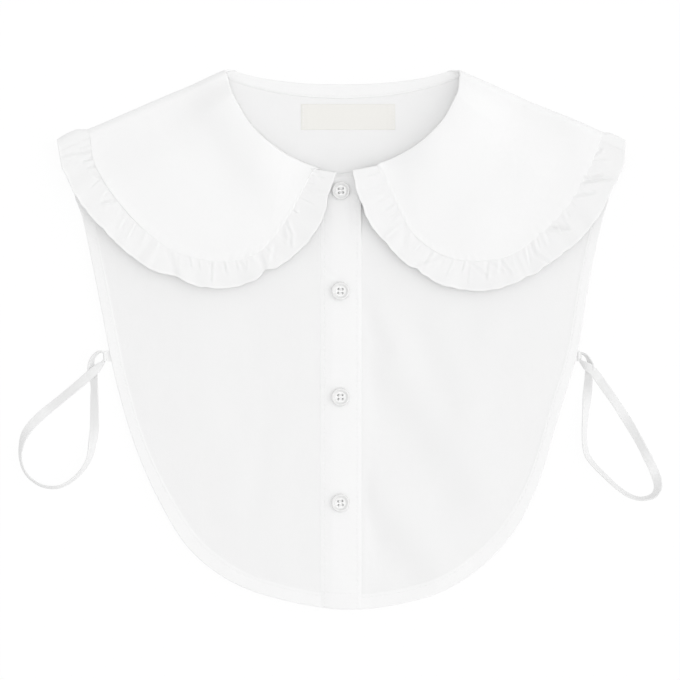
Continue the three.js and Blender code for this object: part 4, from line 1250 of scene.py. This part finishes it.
def backPanel():
    left, right = neckLine(-1, 2, 50), neckLine(1, 2, 50)
    inner = np.vstack([left, right[-2::-1]])
    inset = unit(np.array([0, 20]) - hemLine) * bib["backInset"]
    place = np.arange(len(hemLine))
    outer = hemLine + inset * smoothstep(np.minimum(place, place[::-1]), 0, 6)[:, None]
    flat, width = fanGrid(inner, outer, 2 * bib["rows"], bib["insideColumns"], (-1, 1))
    x, y = flat[..., 0], flat[..., 1]
    settle = smoothstep(edgeDistance(x, y), 0, 12)
    (midX, midY), (halfX, halfY) = bib["underLabel"]
    aroundLabel = np.hypot(np.maximum(np.abs(x - midX) - halfX, 0), np.maximum(np.abs(y - midY) - halfY, 0))
    settle = settle * smoothstep(165 - y, 0, 12) * smoothstep(aroundLabel, 1, 14)
    rise = softWaves(x, y, 9, 26, 70, 0.5 * bib["wave"]) * settle
    grid = np.dstack([flat, backHeight(x, y) + neckRise(x, y) + rise])
    front = lie["leafNeck"] - 2 * lie["frontRoll"]
    turns = np.linspace(math.radians(89), math.pi, bib["shoulderRows"], endpoint=False)
    left, right = (
        shoulderRows(side, turns, bib["insideColumns"], width[0], front, lie["backRoll"]) for side in (-1, 1)
    )
    grid = np.concatenate([left, grid, right[::-1]])
    width = np.r_[np.full(len(turns), width[0]), width, np.full(len(turns), width[-1])]
    run = lengthsAlong(grid[:, -1])
    wall, lift, hemmed = hemProfile(grid.shape[:2], width, run)
    grid[..., 2] += lift
    # the hem share sets the painted light of the doubled hem and the painted shade of the single back
    weave = np.dstack([grid[..., 0], grid[..., 1], hemmed])
    panel, _, _ = addCloth("bibBack", grid, wall, weave)
    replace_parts(panel, "back_panel")
    return panel


bibBack = backPanel()
print("back made")


# The placket down the centre front, and the right front's facing under it
placket = {
    "left": -14.0,
    "right": 12.4,
    "top": 106.5,
    "wall": 0.62,
    "hemWall": 0.82,
    "hem": 11.5,  # turned up at the bottom
    "stitchInside": 2.65,
    "stitchDip": 0.09,
    "pucker": 0.035,
    "rise": 0.72,
    "leftRise": 0.14,  # folded from the left front, it is level with it at that edge
    "rightRise": 0.5,
    "lifted": (86, 15, 2.0),  # under the right frill its edge stands off: place, reach and height
    "edgeWall": 0.38,
    "rows": 330,
    "buttonDip": 0.22,
    "wave": 0.05,
    "underLeft": -11.7,
    "underRight": 16.2,
    "underWall": 0.6,
    "underDrop": 0.9,
}
buttonPlaces = [(-0.7, 97.6), (-1, 32.3), (-1, -36.6), (-1, -105.5)]
placketFolds = [
    ("valley", 0.16, 2.6, [(-9.8, 44.7), (-2.5, 39.5)]),
    ("ridge", 0.12, 2.2, [(4, 24), (9, 18)]),
    ("ridge", 0.12, 2.4, [(-9, -28), (-3, -33)]),
    ("valley", 0.12, 2.4, [(4, -98), (9.5, -93)]),
]
edgeShares = np.array([0, 0.1, 0.3, 0.65, 1.1, 1.7, 2.2, 2.45, 2.65, 2.85, 3.1, 3.7, 4.6])


def crowdedEnds(low, high, ends, inset, count):  # places that are closer together towards both ends
    return np.r_[low + ends, np.linspace(low + inset, high - inset, count), (high - ends)[::-1]]


def addPlacket():
    across = crowdedEnds(placket["left"], placket["right"], edgeShares, 5.8, 15)
    t = np.linspace(0, 1, placket["rows"])[:, None]
    x = np.broadcast_to(across, (placket["rows"], len(across)))
    low = hemY(across)[None]
    y = lerp(low, placket["top"], t)
    fromEdge = np.minimum(x - placket["left"], placket["right"] - x)
    rise = lerp(placket["leftRise"], placket["rise"], smoothstep(x, placket["left"], placket["left"] + 9))
    rise = lerp(placket["rightRise"], rise, smoothstep(placket["right"] - x, 0, 9))
    place, reach, height = placket["lifted"]
    rise = rise + height * hump(y - place, reach) * smoothstep(x, placket["right"] - 9, placket["right"])
    for bx, by in buttonPlaces:
        rise = rise - placket["buttonDip"] * hump(np.hypot(x - bx, (y - by) * 0.8), 6.0)
    inside = smoothstep(fromEdge, 0, 3)
    rise = rise + (foldHeights(x, y, placketFolds) + softWaves(x, y, 8, 14, 50, placket["wave"])) * inside
    fromStitch = fromEdge - placket["stitchInside"]
    shift = 1.3 * np.sign(x)
    pucker = sum(np.sin(y * 2 * math.pi / p + q + shift) for p, q in ((3.6, 0), (5.9, 2), (9.1, 4)))
    rise = rise + placket["pucker"] * pucker * hump(fromStitch, 1.5)
    hem = 1 - smoothstep(y - low, placket["hem"] - 0.4, placket["hem"] + 0.2)
    wall = lerp(placket["wall"], placket["hemWall"], hem) - placket["stitchDip"] * hump(fromStitch, 0.32)
    wall = lerp(placket["edgeWall"], wall, smoothstep(fromEdge, 0, 1.6))
    hemLineAway = y - low - placket["hem"] + 1.2
    wall = wall - 0.8 * placket["stitchDip"] * hump(hemLineAway, 0.45)
    grid = np.dstack([x, y, frontHeight(x, y) + rise])
    strip, upper, normal = addCloth("buttonPlacket", grid, wall, np.dstack([x, y, np.ones_like(x)]))
    sewn = [j for j in range(len(across)) if abs(fromStitch[0, j]) < 0.01]
    lines = [(upper[:, j], normal[:, j]) for j in sewn]
    i = int(np.argmin(np.abs(hemLineAway[:, len(across) // 2])))
    if upper[0, 0, 1] > 0:
        i = len(upper) - 1 - i
    lines.append((upper[i, 1:-1], normal[i, 1:-1]))
    return strip, lines


def addFacing():
    t = np.linspace(0, 1, 90)[:, None]
    across = np.linspace(placket["underLeft"], placket["underRight"], 17)
    x = np.broadcast_to(across, (90, 17))
    y = lerp(hemY(across)[None] + 0.6, placket["top"], t)
    grid = np.dstack([x, y, frontHeight(x, y) - placket["underDrop"]])
    return addCloth("rightFacing", grid, placket["underWall"], np.dstack([x, y, np.ones_like(x)]))[0]


buttonPlacket, placketLines = addPlacket()
rightFacing = addFacing()
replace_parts(buttonPlacket, "placket")
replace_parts(rightFacing, "under_placket")
print("placket made")


# The band over the back neck seam, and the bare label below it
binding = {
    "width": 9.0,
    "endWiden": 0.5,  # towards the shoulders the band shows wider, over this length
    "endReach": 22,
    "wall": 0.5,
    "stitchInside": 1.3,
    "height": 2.85,
    "edgeHeight": 2.56,
    "overFold": math.radians(66),  # its ends follow the shoulder's fold up to this turn
    "foldHeight": 7.4,
}
label = {
    "left": -26.5,
    "right": 34.5,
    "bottom": 137.5,
    "top": 154.0,
    "wall": 0.3,
    "foldedEnd": 5.0,
    "height": 2.66,
    "crown": 0.07,
}


def addBinding():
    stations = stationsRound(0, 40, 90)
    stations = {key: values[stations["turn"] >= binding["overFold"]] for key, values in stations.items()}
    side, turn = stations["side"][:, None], stations["turn"][:, None]
    onFold = (stations["part"] == 1)[:, None]
    neck, across = planPoints(stations, "neck"), acrossCloth(stations)[:, :2]
    stitch = binding["width"] - binding["stitchInside"]
    inner, edge = (0.3, 0.45, 0.8, 1.5, 2.6, 4.0, 5.3, 6.4, 7.1), (8.3, 8.7, 8.9, binding["width"])
    far = np.r_[inner, stitch - 0.25, stitch, stitch + 0.25, edge]
    fromStart = lengthsAlong(neck)[:, None]
    fromEnd = np.minimum(fromStart, fromStart[-1] - fromStart)
    reach = far * (1 + binding["endWiden"] * (1 - smoothstep(fromEnd, 0, binding["endReach"])))
    flat = neck[:, None] + across[:, None] * reach[..., None]
    crown = smoothstep(far, 0, 1.6) * smoothstep(binding["width"] - far, 0, 1.4)
    height = lerp(binding["edgeHeight"], binding["height"], crown)[None]
    folded = wrapPoints(side, neckStart(turn, side) + reach, turn, binding["foldHeight"], height)
    flat = np.where(onFold[..., None], folded[..., :2], flat)
    run = lengthsAlong(flat[:, 0])[:, None]
    z = np.where(onFold, folded[..., 2], height)
    pucker = sum(np.sin(run * 2 * math.pi / p) for p in (3.7, 5.6, 9.3))
    z = z + 0.03 * pucker * hump(far - stitch, 1.3)
    wall = binding["wall"] - 0.14 * hump(far - stitch, 0.3) + 0 * run
    weave = np.dstack([np.broadcast_to(run, z.shape), np.broadcast_to(far, z.shape), np.ones_like(z)])
    band, upper, normal = addCloth("neckBinding", np.dstack([flat, z]), wall, weave)
    j = int(np.argmin(np.abs(far - stitch)))
    return band, (upper[:, j], normal[:, j])


def addLabel():
    ends = np.array([0, 0.1, 0.3, 0.7, 1.2, 2.4, 3.8, 4.7, 4.95, 5.2, 6.0])
    sides = np.array([0, 0.08, 0.25, 0.6, 1.0, 1.4])
    x = crowdedEnds(label["left"], label["right"], ends, 8, 30)
    y = crowdedEnds(label["bottom"], label["top"], sides, 2.6, 10)
    x, y = (grid.T for grid in np.meshgrid(x, y, indexing="ij"))
    fromEnd = np.minimum(x - label["left"], label["right"] - x)
    fromSide = np.minimum(y - label["bottom"], label["top"] - y)
    folded = 1 - smoothstep(fromEnd, label["foldedEnd"] - 0.25, label["foldedEnd"] + 0.1)
    wall = label["wall"] * (1 + 0.35 * folded + 0.18 * (1 - smoothstep(fromSide, 0.8, 1.1)))
    z = label["height"] + neckRise(x, y)
    z = z + label["crown"] * np.sin(x / 7.0 + 1) * np.sin((y - label["bottom"]) / 5.2)
    z = z - 0.08 * hump(fromEnd - 1.6, 1.0) - 0.08 * (1 - smoothstep(np.minimum(fromEnd, fromSide), 0, 1.2))
    weave = np.dstack([x, y, np.zeros_like(x)])
    piece, upper, normal = addCloth("neckLabel", np.dstack([x, y, z]), wall, weave, "label")
    lines = []
    for j in (4, x.shape[1] - 5):
        keep = fromSide[:, j] > 0.7
        lines.append((upper[keep, j], normal[keep, j]))
    return piece, lines


neckBinding, bindingStitches = addBinding()
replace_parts(neckBinding, "neck_binding")
neckLabel, labelLines = addLabel()
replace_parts(neckLabel, "label")
print("binding and label made")


# Buttons: a turned resin disc with a raised rim and four holes, sewn through in two rows
button = {
    "profile": [
        (0, 0), (2.2, 0), (4.2, 0.03), (5.0, 0.28), (5.6, 0.66), (5.9, 1.0), (6.0, 1.3), (5.92, 1.62),
        (5.72, 1.92), (5.4, 2.12), (5.05, 2.19), (4.72, 2.12), (4.42, 1.93), (4.15, 1.7), (3.85, 1.53),
        (3.4, 1.44), (2.6, 1.40), (1.3, 1.38), (0, 1.37),
    ],
    "holeProfile": [(0.66, -1), (0.66, 1.05), (0.69, 1.22), (0.78, 1.34), (0.95, 1.44), (0.95, 3)],
    "holeSpacing": 2.55,
    "sides": 72,
    "holeSides": 24,
    "gap": 1.2,  # underside above the middle of the front
    "threadRadius": 0.15,
    "turns": (4, -3, 3, 6),  # each is sewn on a little turned, in degrees
}


def turnedMesh(profile, sides, closed):
    profile = np.array(profile, float)
    angle = np.linspace(0, 2 * math.pi, sides, endpoint=False)
    points, faces = [], []
    rows = profile[1:-1] if closed else profile
    for r, z in rows:
        points += [(r * math.cos(a), r * math.sin(a), z) for a in angle]
    faces += sweepFaces(len(rows), sides, 0, not closed)
    if closed:
        low, high = len(points), len(points) + 1
        points += [(0, 0, profile[0][1]), (0, 0, profile[-1][1])]
        last = (len(rows) - 1) * sides
        for k in range(sides):
            faces += [[low, (k + 1) % sides, k], [high, last + k, last + (k + 1) % sides]]
    return np.array(points), faces


def plainObject(name, points, faces):
    mesh = bpy.data.meshes.new(name)
    mesh.from_pydata(np.asarray(points).tolist(), [], faces)
    work = bmesh.new()
    work.from_mesh(mesh)
    bmesh.ops.recalc_face_normals(work, faces=work.faces)
    work.to_mesh(mesh)
    work.free()
    thing = bpy.data.objects.new(name, mesh)
    bpy.context.scene.collection.objects.link(thing)
    return thing


def buttonShape():  # drilled once, used four times
    disc = plainObject("discBlank", *turnedMesh(smoothCurve(button["profile"], 3), button["sides"], True))
    points, faces = [], []
    half = button["holeSpacing"] / 2
    for dx in (-half, half):
        for dy in (-half, half):
            drill, drillFaces = turnedMesh(button["holeProfile"], button["holeSides"], False)
            start = sum(len(p) for p in points)
            points.append(drill + (dx, dy, 0))
            faces += [[start + k for k in face] for face in drillFaces]
    drills = plainObject("drillBlank", np.vstack(points), faces)
    cut = disc.modifiers.new("holes", "BOOLEAN")
    cut.object, cut.operation, cut.solver = drills, "DIFFERENCE", "EXACT"
    shaped = disc.evaluated_get(bpy.context.evaluated_depsgraph_get()).to_mesh()
    points = np.array([tuple(v.co) for v in shaped.vertices])
    faces = [list(p.vertices) for p in shaped.polygons]
    for thing in (disc, drills):
        bpy.data.objects.remove(thing)
    return points, faces


def addThreads(name, x, y, z, turn):
    points, faces, weave = [], [], []
    half = button["holeSpacing"] / 2
    radius = button["threadRadius"]
    t = np.linspace(-1, 1, 25)
    angle = np.arange(8) * math.pi / 4
    for row in (-half, half):
        for strand in (-1, 0, 1):
            along = half * np.sign(t) * np.minimum(np.abs(t) * 1.35, 1)
            height = 1.62 + 0.12 * (strand == 0) - 2.4 * np.maximum(np.abs(t) - 0.62, 0) / 0.38 * 0.95
            path = np.stack([along, np.full(25, row + strand * radius * 1.5) * 1.0, height], axis=-1)
            ahead = unit(np.gradient(path, axis=0))
            side = np.broadcast_to([0, 1.0, 0], ahead.shape)
            up = unit(np.cross(ahead, side))
            ring = side[:, None] * np.cos(angle)[None, :, None] + up[:, None] * np.sin(angle)[None, :, None]
            rings = path[:, None] + radius * ring
            faces += sweepFaces(25, 8, 200 * len(points))
            points.append(rings.reshape(-1, 3))
            run = np.repeat(lengthsAlong(path), 8)
            weave.append(np.stack([run, np.tile(angle, 25) * radius, 0 * run], axis=-1))
    px, py, pz = np.vstack(points).T
    cos, sin = math.cos(turn), math.sin(turn)
    placed = np.stack([x + px * cos - py * sin, y + px * sin + py * cos, z + pz], axis=-1)
    return addPiece(name, placed, faces, "thread", np.vstack(weave))


discPoints, discFaces = buttonShape()
for order, ((x, y), turn) in enumerate(zip(buttonPlaces, button["turns"]), start=1):
    turn = math.radians(turn)
    z = float(frontHeight(np.array([x]), np.array([y]))[0]) + button["gap"]
    cos, sin = math.cos(turn), math.sin(turn)
    flat = discPoints[:, :2] @ np.array([[cos, sin], [-sin, cos]])
    placed = np.column_stack([flat + (x, y), discPoints[:, 2] + z])
    weave = discPoints + (order * 31.0, 0, 0)
    disc = addPiece(f"button{order}", placed, discFaces, "resin", weave, math.radians(55))
    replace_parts(disc, f"button_{order}")
    addThreads(f"buttonThread{order}", x, y, z, turn)
print("buttons made")


# Side tabs: a cloth tape folded round the ribbon, its ends caught under the front's hem
tab = {
    "inside": 5.0,
    "eye": 3.6,  # from the front's edge to the middle of the eye
    "eyeRadius": 1.12,
    "width": 6.5,
    "top": -6.7,
    "edge": {-1: -150.7, 1: 151.0},
    "wall": 0.45,
    "layersApart": 0.52,
}


def addTab(side, name):
    centre = tab["inside"] + tab["eye"]
    half = tab["layersApart"] / 2
    angle = math.asin(half / tab["eyeRadius"])
    turn = np.linspace(math.pi - angle, -math.pi + angle, 25)
    eye = np.stack([centre + tab["eyeRadius"] * np.cos(turn), tab["eyeRadius"] * np.sin(turn)], axis=-1)
    near = eye[0, 0] - 0.35
    there = np.stack([np.linspace(0, near, 14), np.full(14, half)], axis=-1)
    profile = alongCurve(np.vstack([there, eye, there[::-1] * (1, -1)]), np.linspace(0, 1, 60))
    columns = 17
    width = np.linspace(0, 1, columns)
    y = tab["top"] - tab["width"] * width
    pinch = 1 + 0.10 * np.cos(math.pi * (width - 0.5)) ** 2
    x = tab["edge"][side] + side * (profile[:, 0] - tab["inside"])[:, None] * np.ones(columns)
    z = lie["backCollar"] + lie["frontAtEdge"] / 2 + profile[:, 1:2] * pinch
    run = lengthsAlong(profile)[:, None] * np.ones(columns)
    grid = np.dstack([x, np.broadcast_to(y, x.shape), z])
    weave = np.dstack([run + 40 * side, np.broadcast_to(y, x.shape), np.ones_like(x)])
    piece, _, _ = addCloth(name, grid, tab["wall"], weave)
    return piece


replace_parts(addTab(-1, "tabLeft"), "tab_left")
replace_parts(addTab(1, "tabRight"), "tab_right")
print("tabs made")


# Seams
addStitches("hemStitchesLeft", [(leftHemLine, leftHemUps)])
addStitches("hemStitchesRight", [(rightHemLine, rightHemUps)])
addStitches("placketStitches", placketLines)
addStitches("bindingStitches", [bindingStitches])
addStitches("labelStitches", labelLines, pitch=2.2, length=1.7, radius=0.12)
print("seams sewn")


# Floor and light
studio = {
    "floorSize": 3.0,
    "floorDrop": 0.2,  # mm under the lowest cloth
    "floorColour": 0.10,
    "floorGlow": 0.90,
    "skyAbove": 0.73,
    "skyBelow": 0.60,
    "lamps": {  # from where, strength and how wide in degrees
        "overhead": ((0.0, 0.0, 1.0), 0.62, 28),
        "fromRight": ((0.86, -0.06, 0.47), 0.75, 70),
    },
}


def addFloor():
    half = studio["floorSize"] / 2
    z = -studio["floorDrop"] * mm
    mesh = bpy.data.meshes.new("studioFloor")
    corners = [(-half, -half, z), (half, -half, z), (half, half, z), (-half, half, z)]
    mesh.from_pydata(corners, [], [(0, 1, 2, 3)])
    floor = bpy.data.objects.new("studioFloor", mesh)
    bpy.context.scene.collection.objects.link(floor)
    finish, _, shader = newFinish("floorPaper", (studio["floorColour"],) * 3, 1.0, 0.0)
    shader.inputs["Emission Color"].default_value = (1, 1, 1, 1)
    shader.inputs["Emission Strength"].default_value = studio["floorGlow"]
    mesh.materials.append(finish)


def addLight():
    scene = bpy.context.scene
    world = bpy.data.worlds.new("studioSky")
    world.use_nodes = True
    tree = world.node_tree
    sky = tree.nodes["Background"]
    sky.inputs["Color"].default_value = (1, 1, 1, 1)
    place = tree.nodes.new("ShaderNodeTexCoord")
    split = tree.nodes.new("ShaderNodeSeparateXYZ")
    tree.links.new(place.outputs["Generated"], split.inputs[0])
    above = sums(tree, "GREATER_THAN", split.outputs["Z"], 0.0)
    more = studio["skyAbove"] - studio["skyBelow"]
    tree.links.new(sums(tree, "MULTIPLY_ADD", above, more, studio["skyBelow"]), sky.inputs["Strength"])
    scene.world = world
    for name, (fromWhere, strength, angle) in studio["lamps"].items():
        lamp = bpy.data.lights.new(name, "SUN")
        lamp.energy, lamp.angle = strength, math.radians(angle)
        sun = bpy.data.objects.new(name, lamp)
        sun.rotation_euler = Vector(fromWhere).to_track_quat("Z", "Y").to_euler()
        scene.collection.objects.link(sun)
    scene.view_settings.view_transform = "Standard"


addFloor()
addLight()
print("floor and light set")
